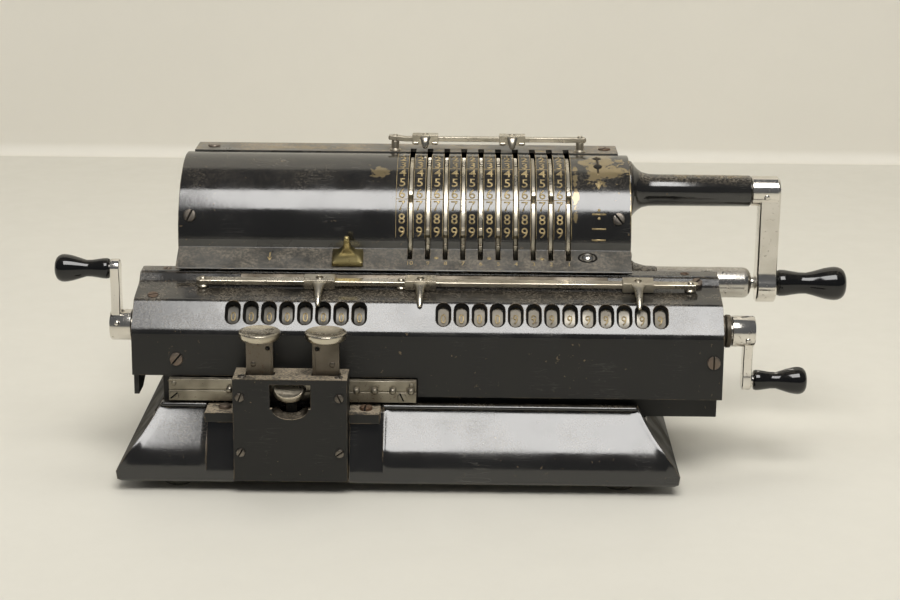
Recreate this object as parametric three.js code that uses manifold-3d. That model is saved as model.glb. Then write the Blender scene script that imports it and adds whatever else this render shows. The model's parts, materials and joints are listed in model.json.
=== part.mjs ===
// A hand-cranked pinwheel calculating machine, in millimetres, +Z up, +X to the operator's right.
// It is drawn about the middle of its drum cover, with the drum axis at Y = 0 and the table at Z = 0,
// and moved at the end so that the origin is the middle of its footprint on the table.
import * as THREE from "three";
import { mergeVertices } from "three/addons/utils/BufferGeometryUtils.js";
import Module from "manifold-3d";

const wasm = await Module();
wasm.setup();

// ---- driving dimensions ----
const GAP = 0.3; // clearance between separate pieces
const PITCH = 7.5; // one decimal place, on the drum and on the carriage alike
const COLUMNS = 10; // setting levers
const COUNTER_PLACES = 8;
const RESULT_PLACES = 13;

const DRUM_Z = 91; // height of the drum axis
const COVER_R = 33; // outer radius of the setting cover
const COVER_SHEET = 1.5;
const COVER_LEFT = -96;
const COVER_RIGHT = 97.4;
const COVER_TOP_ANGLE = 102; // the cover's back edge, in degrees up from the front
const APRON = { kinkY: -33, kinkZ: 90, frontY: -44, frontZ: 83.6 };

const FIRST_SLOT_X = 70.65; // the units column
const SLOT_WIDTH = 2.1;
const SLOT_FRONT_Y = -38.5; // where the slots end on the apron
const DIGIT_STEP = 9.85; // degrees from one digit to the next
const DIGIT_9_ANGLE = 11; // degrees up from the front
const SET_DIGITS = [6, 6, 6, 9, 9, 9, 9, 9, 9, 6]; // as the levers stand, units first

const LEVER_TIP_R = 34.2;
const LEVER_RING_R = 30.6;
const LEVER_BOSS_R = 24.6;
const LEVER_THICK = 1.5;
const DISC_R = 27.6;
const PIN_OUT_R = 31;
const FIRST_PIN_ANGLE = 190; // degrees, the first of the pins that a lever pushes out
const DRUM_SHAFT_R = 6;

const CRANK_RISE = 18.4; // crank axis above the drum axis, which is the gears' centre distance
const GEAR_TEETH = 20;
const GEAR_X = 80.5;
const GEAR_WIDTH = 5;
const CRANK_SHAFT_R = 4;
const CRANK_ARM_LENGTH = 41.8;
const CRANK_HUB_X = 152;

const FRAME_RIGHT = { inner: 93.9, outer: 97 };
const FRAME_LEFT = { inner: -93.9, outer: -96.4 };
const REAR = { halfLength: 93.6, frontY: 7.3, backY: 37, topZ: 124, cornerR: 14, notchY: 13.9 };

const BASE = { topZ: 33, bottomZ: 4.6, topHalf: 99.3, bottomHalf: 116.5, frontY: -90, backY: 42 };
const BASE_BAND_Z = 10; // top of the upright band round the foot of the base
const CHANNEL = { front: -68.8, back: -61.2, floorZ: 25.5 }; // the carriage's lower rail runs in it

const BOX = { left: -67, right: -20.4, frontY: -92, backY: -76.5, bottomZ: 6, topZ: 50 };
const BOX_WALL = 2;
const KEY_CENTRES = [-56.4, -29.4];
const KEY_Y = -84;

// The carriage cover's section, from its back edge over the top and down the front.
const CARRIAGE = { left: -111, right: 134, sheet: 1.6 };
const CARRIAGE_SECTION = [
  [-34.8, 81.6],
  [-43.4, 81.4],
  [-46.9, 78],
  [-61.5, 74.6],
  [-70.8, 63.5],
  [-72.2, 36.6],
];
const RACK_CUT = { right: 7.6, bottomZ: 44.7 }; // the front is cut away above the shift rack
const WINDOW = { width: 6.4, length: 11, along: 5.6 }; // along: centre's distance down the bevel
const COUNTER_FIRST_X = -16.9; // units window of the turns counter
const RESULT_FIRST_X = 108;
const WHEEL_R = 11.5;
const WHEEL_GAP = 0.9; // wheel face behind the cover sheet
const WHEEL_WIDTH = 5.4;
const REGISTER_SHAFT_R = 3;
const IDLER = { distance: 41, outerR: 6.2, rootR: 4.2, teeth: 6, width: 2.6, shaftR: 2 };
const RAIL_TILT = THREE.MathUtils.degToRad(13.1); // the carriage's top slopes by this much
const CARRIAGE_RAIL = { left: -86.2, right: 124.6, y: -50.6, z: 79.9, depth: 3.6, height: 2 };
const TOP_RAIL = { left: -8, right: 79.6, y: 10.2, z: 129.3, depth: 3.2, height: 2 };
const CARRIAGE_POINTERS = [-34.3, 8.1, 99.3];
const TOP_POINTERS = [8.4, 46.8];
const CARRIAGE_FINGER = [
  [-2.8, 2.1],
  [-5.5, 1.6],
  [-10.5, -0.2],
  [-14.6, -2.9],
  [-14.2, -3.7],
  [-12.6, -3.1],
  [-11, -2.2],
  [-2.8, -1.2],
];
const TOP_FINGER = [
  [-2.6, 2.1],
  [-3.6, 1.2],
  [-5, -2.4],
  [-4.9, -3.6],
  [-3.9, -3.4],
  [-2.6, -0.6],
];

// ---- materials ----
const finish = (color, roughness, metalness) =>
  new THREE.MeshStandardMaterial({ color, roughness, metalness });
const ENAMEL = finish(0x14130f, 0.25, 0);
const SATIN_ENAMEL = finish(0x23221f, 0.5, 0);
const NICKEL = finish(0xb8ad98, 0.32, 1);
const CHROME = finish(0xcfccc6, 0.2, 1);
const STEEL = finish(0x8d8a84, 0.4, 1);
const BRASS = finish(0x9a8450, 0.5, 1);
const KNOB_BLACK = finish(0x0c0c0c, 0.12, 0);
const DIAL = finish(0x74706a, 0.5, 0.4);

// ---- shape helpers ----
const degrees = THREE.MathUtils.degToRad;
const X_AXIS = new THREE.Vector3(1, 0, 0);
const Y_AXIS = new THREE.Vector3(0, 1, 0);
const Z_AXIS = new THREE.Vector3(0, 0, 1);
const ALONG_X = new THREE.Matrix4().makeBasis(Y_AXIS, Z_AXIS, X_AXIS);
const ALONG_Y = new THREE.Matrix4().makeBasis(X_AXIS, Z_AXIS, Y_AXIS.clone().negate());

// A closed geometry as a manifold-3d solid.
function solid(geometry) {
  geometry.deleteAttribute("normal");
  geometry.deleteAttribute("uv");
  const merged = mergeVertices(geometry, 1e-4);
  return new wasm.Manifold(
    new wasm.Mesh({
      numProp: 3,
      vertProperties: merged.attributes.position.array,
      triVerts: new Uint32Array(merged.index.array),
    }),
  );
}

function join(...parts) {
  return parts.reduce((whole, part) => whole.add(part));
}

function cut(whole, ...cutters) {
  return cutters.reduce((left, cutter) => left.subtract(cutter), whole);
}

function meshOf(name, made, material) {
  const mesh = made.getMesh();
  const geometry = new THREE.BufferGeometry()
    .setAttribute("position", new THREE.BufferAttribute(mesh.vertProperties, 3))
    .setIndex(new THREE.BufferAttribute(mesh.triVerts, 1));
  geometry.computeVertexNormals();
  const result = new THREE.Mesh(geometry, material);
  result.name = name;
  return result;
}

function box(x0, x1, y0, y1, z0, z1) {
  const geometry = new THREE.BoxGeometry(x1 - x0, y1 - y0, z1 - z0);
  return solid(geometry.translate((x0 + x1) / 2, (y0 + y1) / 2, (z0 + z1) / 2));
}

const outline = (points) => new THREE.Shape(points.map(([u, v]) => new THREE.Vector2(u, v)));

function extruded(shape, length, curveSegments = 8) {
  return new THREE.ExtrudeGeometry(shape, { depth: length, bevelEnabled: false, curveSegments });
}

// A (Y, Z) outline drawn out from x0 to x1.
function drawnAlongX(shape, x0, x1, curveSegments) {
  const geometry = extruded(shape, x1 - x0, curveSegments);
  return solid(geometry.applyMatrix4(ALONG_X).translate(x0, 0, 0));
}

// An (X, Z) outline drawn out from y0 to y1.
function drawnAlongY(shape, y0, y1, curveSegments) {
  const geometry = extruded(shape, y1 - y0, curveSegments);
  return solid(geometry.applyMatrix4(ALONG_Y).translate(0, y1, 0));
}

// Turned about the X axis from [x, radius] pairs with x rising along the outside.
function turnedX(profile, segments = 16) {
  const points = profile.map(([x, r]) => new THREE.Vector2(r, x));
  return solid(new THREE.LatheGeometry(points, segments).rotateZ(-Math.PI / 2));
}

function turnedZ(profile, segments = 16) {
  const points = profile.map(([z, r]) => new THREE.Vector2(r, z));
  return solid(new THREE.LatheGeometry(points, segments).rotateX(Math.PI / 2));
}

const rodProfile = (from, to, r) => [[from, 0], [from, r], [to, r], [to, 0]];
const rodX = (x0, x1, r, segments) => turnedX(rodProfile(x0, x1, r), segments);
const rodZ = (z0, z1, r, segments) => turnedZ(rodProfile(z0, z1, r), segments);

// A point at an angle up from the front of the drum, as [y, z] from the drum axis.
const onDrum = (angle, r) => [-r * Math.cos(degrees(angle)), r * Math.sin(degrees(angle))];

function arc(r, from, to, steps) {
  return Array.from({ length: steps + 1 }, (_, i) => onDrum(from + ((to - from) * i) / steps, r));
}

const slotX = (column) => FIRST_SLOT_X - PITCH * column;

// A gear's outline: straight-sided teeth, thin enough to turn freely in mesh.
function gearOutline(teeth, rootR, tipR) {
  const step = (2 * Math.PI) / teeth;
  const points = [];
  for (let i = 0; i < teeth; i++) {
    const corners = [
      [-0.3, rootR],
      [-0.12, tipR],
      [0.12, tipR],
      [0.3, rootR],
    ];
    for (const [share, r] of corners) {
      const angle = (i + share) * step;
      points.push([r * Math.cos(angle), r * Math.sin(angle)]);
    }
  }
  return outline(points);
}

function place(object, x, y, z) {
  object.position.set(x, y, z);
  return object;
}

// ---- base ----
function baseCasting() {
  const rim = outline([
    [BASE.frontY, BASE.bottomZ],
    [BASE.frontY, BASE_BAND_Z],
    [-88.6, 15.5],
    [-85.4, 21.8],
    [-80.6, 27.8],
    [-74.6, BASE.topZ],
    [CHANNEL.front, BASE.topZ],
    [CHANNEL.front, CHANNEL.floorZ],
    [CHANNEL.back, CHANNEL.floorZ],
    [CHANNEL.back, BASE.topZ],
    [BASE.backY, BASE.topZ],
    [BASE.backY, BASE.bottomZ],
  ]);
  const ends = outline([
    [-BASE.bottomHalf, BASE.bottomZ],
    [BASE.bottomHalf, BASE.bottomZ],
    [BASE.bottomHalf, 7],
    [109.4, 18.6],
    [BASE.topHalf, BASE.topZ],
    [-BASE.topHalf, BASE.topZ],
    [-109.4, 18.6],
    [-BASE.bottomHalf, 7],
  ]);
  const hollow = outline([
    [-72, 0],
    [38, 0],
    [38, 29],
    [-57, 29],
    [-57, 21.5],
    [-72, 21.5],
  ]);
  const lugs = [
    [-79.2, BOX.left - GAP],
    [BOX.right + GAP, -7.6],
  ].map(([x0, x1]) => box(x0, x1, -80.4, -73, 25, 34.8));
  const block = drawnAlongX(rim, -BASE.bottomHalf, BASE.bottomHalf);
  const shaped = block.intersect(drawnAlongY(ends, BASE.frontY - 1, BASE.backY + 1));
  return cut(
    join(shaped, ...lugs),
    drawnAlongX(hollow, -95, 95),
    box(BOX.left - GAP, BOX.right + GAP, -95, BOX.backY + GAP, 0, 40),
  );
}

// Sheet-steel bottom plate with four pressed feet.
function bottomPlate() {
  const feet = [-92, 92].flatMap((x) =>
    [-76, 30].map((y) => solid(new THREE.CylinderGeometry(7, 6.4, 3.6, 14)
      .rotateX(Math.PI / 2)
      .translate(x, y, 1.8))),
  );
  return join(box(-103, 103, -84, 36, 3.3, 4.3), ...feet);
}

// ---- frame plates and covers ----
function sideFrame(x0, x1, withCrankBore) {
  const plate = join(
    drawnAlongX(outline(arc(COVER_R - COVER_SHEET - 0.4, 0, 360, 30).slice(0, -1)), x0, x1),
    box(x0, x1, -22, 36, BASE.topZ + GAP - DRUM_Z, 0),
  );
  const drumBore = rodX(x0 - 1, x1 + 1, DRUM_SHAFT_R + GAP, 20);
  const crankBore = rodX(x0 - 1, x1 + 1, CRANK_SHAFT_R + GAP, 16).translate([0, 0, CRANK_RISE]);
  return withCrankBore ? cut(plate, drumBore, crankBore) : cut(plate, drumBore);
}

function settingCover() {
  const kinkAngle = THREE.MathUtils.radToDeg(Math.asin((APRON.kinkZ - DRUM_Z) / COVER_R));
  const inner = COVER_R - COVER_SHEET;
  const lift = (y, z) => [y, z - DRUM_Z];
  const section = outline([
    ...arc(COVER_R, COVER_TOP_ANGLE, kinkAngle, 10),
    lift(APRON.frontY, APRON.frontZ),
    lift(APRON.frontY + 0.6, APRON.frontZ - 1),
    lift(APRON.kinkY + 1.2, APRON.kinkZ - 1),
    ...arc(inner, kinkAngle + 2, COVER_TOP_ANGLE, 10),
  ]);
  const slots = Array.from({ length: COLUMNS }, (_, i) => {
    const x = slotX(i);
    return box(x - SLOT_WIDTH / 2, x + SLOT_WIDTH / 2, SLOT_FRONT_Y, 20, -20, 40);
  });
  return cut(drawnAlongX(section, COVER_LEFT, COVER_RIGHT), ...slots);
}

function rearCover() {
  const shell = (inset) => {
    const shape = new THREE.Shape();
    const top = REAR.topZ - inset;
    const back = REAR.backY - inset;
    const r = REAR.cornerR - inset;
    shape.moveTo(REAR.frontY, BASE.topZ + GAP);
    shape.lineTo(back, BASE.topZ + GAP);
    shape.lineTo(back, top - r);
    shape.absarc(back - r, top - r, r, 0, Math.PI / 2, false);
    shape.lineTo(REAR.frontY, top);
    return shape;
  };
  const half = REAR.halfLength;
  const cavity = drawnAlongX(shell(COVER_SHEET), -half + COVER_SHEET, half - COVER_SHEET, 6);
  const mouth = box(-half + COVER_SHEET, half - COVER_SHEET, 0, 20, 30, REAR.topZ - COVER_SHEET);
  const below = box(-half + COVER_SHEET, half - COVER_SHEET, 0, REAR.backY - COVER_SHEET, 30, 60);
  const notches = Array.from({ length: COLUMNS }, (_, i) => {
    const x = slotX(i);
    return box(x - 1.3, x + 1.3, 0, REAR.notchY, REAR.topZ - 6, REAR.topZ + 2);
  });
  return cut(drawnAlongX(shell(0), -half, half, 6), cavity, mouth, below, ...notches);
}

function crankBearingTube() {
  const start = FRAME_RIGHT.outer + GAP;
  const end = CRANK_HUB_X - GAP;
  const bore = CRANK_SHAFT_R + GAP;
  return turnedX(
    [
      [start, bore],
      [start, 12.8],
      [start + 1.6, 12.4],
      [start + 3.2, 10],
      [start + 5.4, 8.2],
      [start + 9, 7.1],
      [end - 0.6, 6.9],
      [end, 6.3],
      [end, bore],
      [start, bore],
    ],
    16,
  );
}

// The stop tube that the crank arm rests against, with its stud.
function crankRestTube() {
  const start = FRAME_RIGHT.outer + GAP;
  return turnedX(
    [
      [start, 0],
      [start, 9.4],
      [start + 2.6, 8.6],
      [start + 5.4, 7.2],
      [start + 9, 6.8],
      [150.5, 6.8],
      [152.7, 5.9],
      [153.7, 3.6],
      [153.8, 2.6],
      [154.9, 2.6],
      [154.9, 0],
    ],
    16,
  );
}

// ---- control box and its keys ----
function controlBox() {
  const shell = cut(
    box(BOX.left, BOX.right, BOX.frontY, BOX.backY, BOX.bottomZ, BOX.topZ),
    box(
      BOX.left + BOX_WALL,
      BOX.right - BOX_WALL,
      BOX.frontY + BOX_WALL,
      BOX.backY + 1,
      BOX.bottomZ + BOX_WALL,
      BOX.topZ - BOX_WALL,
    ),
  );
  const pinWay = box(BOX.left - 1, BOX.right + 1, -79, BOX.backY + 1, 37.4, 43.6);
  const stemHoles = KEY_CENTRES.map((x) => box(x - 6, x + 6, KEY_Y - 2, KEY_Y + 2, 47, 52));
  const window = new THREE.Shape();
  window.moveTo(-51.6, BOX.topZ - BOX_WALL - 0.4);
  window.lineTo(-51.6, 40);
  window.absarc(-43.6, 40, 8, Math.PI, 2 * Math.PI, false);
  window.lineTo(-35.6, BOX.topZ - BOX_WALL - 0.4);
  return cut(shell, pinWay, ...stemHoles, drawnAlongY(window, -93, -89, 8));
}

// A shift key: a flat stem under a dished round button, drawn at its own place on the box.
function shiftKey() {
  const stem = cut(
    box(-5.5, 5.5, -1.4, 1.4, -14, 16.2),
    solid(new THREE.CylinderGeometry(0.9, 0.9, 4, 10).translate(0, 0, 4.2)),
  );
  const button = turnedZ(
    [
      [14.6, 0],
      [14.6, 7.2],
      [15.6, 8.4],
      [17, 8.6],
      [18, 8.2],
      [17.4, 7.4],
      [17, 0],
    ],
    24,
  );
  return join(stem, button);
}

function releaseKey() {
  const pad = new THREE.CylinderGeometry(6.4, 6.4, 4.4, 20).rotateX(Math.PI / 2);
  const shaped = solid(pad.scale(1, 0.62, 1).translate(0, -87.4, 44));
  return join(shaped, box(-4, 4, -87.4, -84.6, 28, 44));
}

// ---- drum, pinwheels and levers ----
function drumShaft() {
  const left = FRAME_LEFT.outer + 0.4;
  const right = FRAME_RIGHT.outer - 0.2;
  return turnedX(
    [
      [left, 0],
      [left, DRUM_SHAFT_R],
      [-9, DRUM_SHAFT_R],
      [-9, 13],
      [-6, 13],
      [-6, DRUM_SHAFT_R],
      [right, DRUM_SHAFT_R],
      [right, 0],
    ],
    20,
  );
}

function gear(boreR) {
  const module = CRANK_RISE / GEAR_TEETH;
  const pitchR = CRANK_RISE / 2;
  const shape = gearOutline(GEAR_TEETH, pitchR - 1.15 * module, pitchR + 0.75 * module);
  const blank = drawnAlongX(shape, GEAR_X, GEAR_X + GEAR_WIDTH);
  return cut(blank, rodX(GEAR_X - 1, GEAR_X + GEAR_WIDTH + 1, boreR + GAP, 16));
}

// One pinwheel: a disc with its pins out for the digit set, a boss for the lever ring, and a spacer.
function pinwheelDisc(digit) {
  const rim = [];
  for (let i = 0; i < digit; i++) {
    const angle = FIRST_PIN_ANGLE + i * DIGIT_STEP;
    rim.push(onDrum(angle - 2.6, DISC_R), onDrum(angle - 2.2, PIN_OUT_R));
    rim.push(onDrum(angle + 2.2, PIN_OUT_R), onDrum(angle + 2.6, DISC_R));
  }
  rim.push(...arc(DISC_R, FIRST_PIN_ANGLE + digit * DIGIT_STEP, FIRST_PIN_ANGLE + 350, 12));
  return cut(
    join(
      drawnAlongX(outline(rim), 1.1, 4.6),
      rodX(-1.1, 1.3, LEVER_BOSS_R, 16),
      rodX(4.4, 6.1, 12, 8),
    ),
    rodX(-3, 8, DRUM_SHAFT_R + 2 * GAP, 12),
  );
}

// A setting lever: a ring sector round the boss, with the finger tip at its front end.
function settingLever() {
  const innerR = LEVER_BOSS_R + 0.4;
  const sector = outline([
    ...arc(LEVER_RING_R, 3, 196, 12),
    ...arc(innerR, 196, -3.2, 12),
    onDrum(-3.2, LEVER_RING_R),
    onDrum(-2.6, LEVER_TIP_R - 0.6),
    onDrum(-1.6, LEVER_TIP_R),
    onDrum(1.6, LEVER_TIP_R),
    onDrum(2.6, LEVER_TIP_R - 0.6),
  ]);
  return drawnAlongX(sector, -LEVER_THICK / 2, LEVER_THICK / 2);
}

// ---- crank ----
function crankShaft() {
  return rodX(GEAR_X - 1, CRANK_HUB_X + 7, CRANK_SHAFT_R, 16);
}

function crankArm() {
  const hub = rodX(CRANK_HUB_X, CRANK_HUB_X + 11.1, 6.65, 20);
  const bar = new THREE.Shape();
  bar.moveTo(5.4, 0);
  bar.lineTo(4.6, -CRANK_ARM_LENGTH + 8);
  bar.absarc(0, -CRANK_ARM_LENGTH, 9.4, degrees(62), degrees(-242), true);
  bar.lineTo(-4.6, -CRANK_ARM_LENGTH + 8);
  bar.lineTo(-5.4, 0);
  bar.absarc(0, 0, 6, Math.PI, 0, true);
  const spindleBore = rodX(150, 170, 2.5 + GAP, 14).translate([0, 0, -CRANK_ARM_LENGTH]);
  return cut(
    join(hub, drawnAlongX(bar, CRANK_HUB_X + 3.6, CRANK_HUB_X + 12.8, 10)),
    rodX(CRANK_HUB_X - 1, CRANK_HUB_X + 7.3, CRANK_SHAFT_R + GAP, 16),
    spindleBore,
  );
}

// The knob's pull-out spindle, whose inner end locks the arm to the stud of the rest tube.
function crankHandleSpindle() {
  return turnedX(
    [
      [155.3, 0],
      [155.3, 2.5],
      [166, 2.5],
      [166, 3.8],
      [167, 3.8],
      [167, 2.5],
      [188, 2.5],
      [188, 0],
    ],
    14,
  );
}

// A turned knob with a waist and a bulb, hollow for its spindle, growing along +X from x = 0.
function knob(length, baseR, bulbR, boreR) {
  const shares = [
    [0, 0.72 * baseR],
    [0.04, baseR],
    [0.14, 0.95 * baseR],
    [0.32, 0.76 * baseR],
    [0.5, 0.82 * bulbR * 0.82],
    [0.66, 0.9 * bulbR],
    [0.8, bulbR],
    [0.92, 0.86 * bulbR],
    [0.98, 0.52 * bulbR],
    [1, 0],
  ];
  const profile = shares.map(([share, r]) => [share * length, r]);
  return cut(turnedX([[0, 0], ...profile], 18), rodX(-1, length * 0.78, boreR, 12));
}

// ---- carriage ----
// The section moved inwards by a distance, vertex by vertex along the bisectors.
function insetSection(distance) {
  const points = CARRIAGE_SECTION.map(([y, z]) => new THREE.Vector2(y, z));
  return points.map((point, i) => {
    const before = points[Math.max(i - 1, 0)];
    const after = points[Math.min(i + 1, points.length - 1)];
    const into = point.clone().sub(before).normalize();
    const out = after.clone().sub(point).normalize();
    if (i === 0) into.copy(out);
    if (i === points.length - 1) out.copy(into);
    const normal = new THREE.Vector2(-into.y - out.y, into.x + out.x).normalize();
    const spread = normal.dot(new THREE.Vector2(-into.y, into.x));
    const moved = point.clone().addScaledVector(normal, distance / spread);
    return [moved.x, moved.y];
  });
}

const bevelStart = new THREE.Vector2(...CARRIAGE_SECTION[3]);
const bevelEnd = new THREE.Vector2(...CARRIAGE_SECTION[4]);
const bevelDown = bevelEnd.clone().sub(bevelStart).normalize();
const bevelOut = new THREE.Vector2(bevelDown.y, -bevelDown.x);
const windowCentre = bevelStart.clone().addScaledVector(bevelDown, WINDOW.along);
const wheelCentre = windowCentre
  .clone()
  .addScaledVector(bevelOut, -(CARRIAGE.sheet + WHEEL_GAP + WHEEL_R));

const placesX = (firstX, count) => Array.from({ length: count }, (_, i) => firstX - PITCH * i);
const windowsX = [
  ...placesX(COUNTER_FIRST_X, COUNTER_PLACES),
  ...placesX(RESULT_FIRST_X, RESULT_PLACES),
];

// A stadium-shaped cutter standing on the bevel at x.
function windowCutter(x) {
  const straight = (WINDOW.length - WINDOW.width) / 2;
  const shape = new THREE.Shape();
  shape.absarc(0, straight, WINDOW.width / 2, 0, Math.PI, false);
  shape.absarc(0, -straight, WINDOW.width / 2, Math.PI, 2 * Math.PI, false);
  const geometry = extruded(shape, 6, 3).translate(0, 0, -3);
  const up = new THREE.Vector3(0, -bevelDown.x, -bevelDown.y);
  const out = new THREE.Vector3(0, bevelOut.x, bevelOut.y);
  geometry.applyMatrix4(new THREE.Matrix4().makeBasis(X_AXIS, up, out));
  return solid(geometry.translate(x, windowCentre.x, windowCentre.y));
}

function carriageCover() {
  const section = outline([...CARRIAGE_SECTION, ...insetSection(CARRIAGE.sheet).reverse()]);
  return cut(
    drawnAlongX(section, CARRIAGE.left, CARRIAGE.right),
    box(CARRIAGE.left - 1, RACK_CUT.right, -80, -60, 20, RACK_CUT.bottomZ),
    ...windowsX.map(windowCutter),
  );
}

// An end plate inside the cover, bored for the register shaft, the idler shaft and the rail.
function carriageEndPlate(x0, x1, frontBottomZ, registerBoreR) {
  const inside = insetSection(CARRIAGE.sheet + GAP);
  inside[0][0] = -35.4;
  const front = inside[5];
  front[0] += ((inside[4][0] - front[0]) * (frontBottomZ - front[1])) / (inside[4][1] - front[1]);
  front[1] = frontBottomZ;
  const plate = outline([...inside, [-60, frontBottomZ], [-36, 46]]);
  const idler = idlerCentre();
  return cut(
    drawnAlongX(plate, x0, x1),
    rodX(x0 - 1, x1 + 1, registerBoreR, 16).translate([0, wheelCentre.x, wheelCentre.y]),
    rodX(x0 - 1, x1 + 1, IDLER.shaftR + GAP, 12).translate([0, idler.x, idler.y]),
  );
}

function carriageLowerRail() {
  return box(-99, CARRIAGE.right - 1.5, -67, -63.2, 27.4, 43.5);
}

// The pinned rack under the cover, which the shift keys step along.
function shiftRack() {
  const plate = join(
    box(-95.3, 7.2, -76, -72.6, 35.2, 39.9),
    box(-95.3, 7.2, -75.6, -72.6, 39.7, 44.4),
  );
  const pins = Array.from({ length: 11 }, (_, i) =>
    solid(new THREE.CylinderGeometry(1.5, 1.5, 2.6, 10).translate(5 - PITCH * i, -77, 40.5)),
  );
  return join(plate, ...pins);
}

// The wheels of one register on their shaft.
function registerWheels(firstX, count, x0, x1) {
  const half = WHEEL_WIDTH / 2;
  const profile = [[x0, 0], [x0, REGISTER_SHAFT_R]];
  for (const x of placesX(firstX, count).reverse()) {
    profile.push([x - half, REGISTER_SHAFT_R], [x - half, WHEEL_R]);
    profile.push([x + half, WHEEL_R], [x + half, REGISTER_SHAFT_R]);
  }
  profile.push([x1, REGISTER_SHAFT_R], [x1, 0]);
  return turnedX(profile, 10);
}

// The idlers stand on the line from the drum axis to the register axis.
function idlerCentre() {
  const drum = new THREE.Vector2(0, DRUM_Z);
  const towards = wheelCentre.clone().sub(drum).normalize();
  return drum.addScaledVector(towards, IDLER.distance);
}

function idlerGears() {
  const shape = gearOutline(IDLER.teeth, IDLER.rootR, IDLER.outerR);
  const gears = placesX(RESULT_FIRST_X, RESULT_PLACES).map((x) =>
    drawnAlongX(shape, x - IDLER.width / 2, x + IDLER.width / 2),
  );
  return join(rodX(CARRIAGE.left + 1.4, CARRIAGE.right - 1.4, IDLER.shaftR, 6), ...gears);
}

// A clearing crank: a hub with a collar, a stub through the end plate and an arm, growing along +X.
function clearingCrank(collarLength, hubLength, armReach, stub) {
  const hubStart = collarLength + GAP;
  const hubEnd = hubStart + hubLength;
  const turned = turnedX(
    [
      [-stub, 0],
      [-stub, 3.6],
      [0, 3.6],
      [0, 6.9],
      [collarLength, 6.9],
      [collarLength, 4.4],
      [hubStart, 4.4],
      [hubStart, 6.2],
      [hubEnd, 6.2],
      [hubEnd, 0],
    ],
    18,
  );
  const arm = new THREE.Shape();
  arm.moveTo(4, 0);
  arm.lineTo(3.4, armReach);
  arm.absarc(0, armReach, 3.9, 0, Math.PI, false);
  arm.lineTo(-4, 0);
  const bar = drawnAlongX(arm, hubEnd - 4.4, hubEnd - 0.6, 8);
  const pin = rodX(hubEnd - 1, hubEnd + 12, 1.6, 10).translate([0, 0, armReach]);
  return join(turned, bar, pin);
}

function carriagePointerRail() {
  const { left, right, depth, height } = CARRIAGE_RAIL;
  const posts = [-83.5, -0.1, 121.4].map((x) =>
    rodZ(-2.3, height / 2 + 1, 1.7, 10).translate([x, 0, 0]),
  );
  return join(box(left, right, -depth / 2, depth / 2, -height / 2, height / 2), ...posts);
}

function carriageGuideStrip() {
  const strip = box(-68, 87, -0.5, 0.5, -1.2, 1.2);
  return strip.rotate([-45, 0, 0]).translate([0, -45.1 - 0.95, 79.7 + 0.75]);
}

// A pointer: a saddle clipped over a rail, and a finger whose outline hangs from the rail's middle.
function railPointer(width, rail, finger) {
  const d = rail.depth / 2 + GAP;
  const h = rail.height / 2 + GAP;
  const wall = 0.8;
  const saddle = cut(
    box(-width / 2, width / 2, -d - wall, d + wall, -h - wall, h + wall),
    box(-width, width, -d, d, -h, h),
    box(-width, width, -d + 0.6, d - 0.6, -h - 3, 0),
  );
  return join(saddle, drawnAlongX(outline(finger), -1.5, 1.5));
}

// ---- top rail and the brass marker ----
function topPointerRail() {
  const { left, right, y, z, depth, height } = TOP_RAIL;
  const posts = [-4.9, 76.8].map((x) =>
    rodZ(REAR.topZ + GAP, z + height / 2 + 1, 1.8, 10).translate([x, y, 0]),
  );
  return join(
    box(left, right, y - depth / 2, y + depth / 2, z - height / 2, z + height / 2),
    ...posts,
  );
}

// The brass finger piece that slides along the apron, drawn about its own foot.
function brassMarker() {
  const fin = outline([
    [-6.5, 0],
    [6.5, 0],
    [6.3, 3.2],
    [3.6, 4],
    [1.6, 6.6],
    [1.3, 12.6],
    [-1.3, 12.6],
    [-1.6, 6.6],
    [-3.6, 4],
    [-6.3, 3.2],
  ]);
  return join(drawnAlongY(fin, -1.6, 1.6), box(-6.5, 6.5, -4.4, 4.4, 0, 2.2));
}

// ---- assembly ----
const frame = new THREE.Group();
frame.add(meshOf("base_casting", baseCasting(), ENAMEL));
frame.add(meshOf("bottom_plate", bottomPlate(), STEEL));
const framePlateLeft = sideFrame(FRAME_LEFT.outer, FRAME_LEFT.inner, false);
const framePlateRight = sideFrame(FRAME_RIGHT.inner, FRAME_RIGHT.outer, true);
frame.add(place(meshOf("side_frame_left", framePlateLeft, SATIN_ENAMEL), 0, 0, DRUM_Z));
frame.add(place(meshOf("side_frame_right", framePlateRight, SATIN_ENAMEL), 0, 0, DRUM_Z));
frame.add(place(meshOf("setting_cover", settingCover(), ENAMEL), 0, 0, DRUM_Z));
frame.add(meshOf("rear_cover", rearCover(), ENAMEL));
frame.add(meshOf("control_box", controlBox(), SATIN_ENAMEL));
frame.add(meshOf("top_pointer_rail", topPointerRail(), NICKEL));
const crankZ = DRUM_Z + CRANK_RISE;
frame.add(place(meshOf("crank_bearing_tube", crankBearingTube(), ENAMEL), 0, 0, crankZ));
const restZ = crankZ - CRANK_ARM_LENGTH;
frame.add(place(meshOf("crank_rest_tube", crankRestTube(), CHROME), 0, 0, restZ));

const keys = new THREE.Group();
for (const [i, side] of ["left", "right"].entries()) {
  const key = meshOf("shift_key_" + side, shiftKey(), NICKEL);
  keys.add(place(key, KEY_CENTRES[i], KEY_Y, BOX.topZ));
}
keys.add(place(meshOf("release_key", releaseKey(), NICKEL), -43.6, 0, 0));

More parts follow.
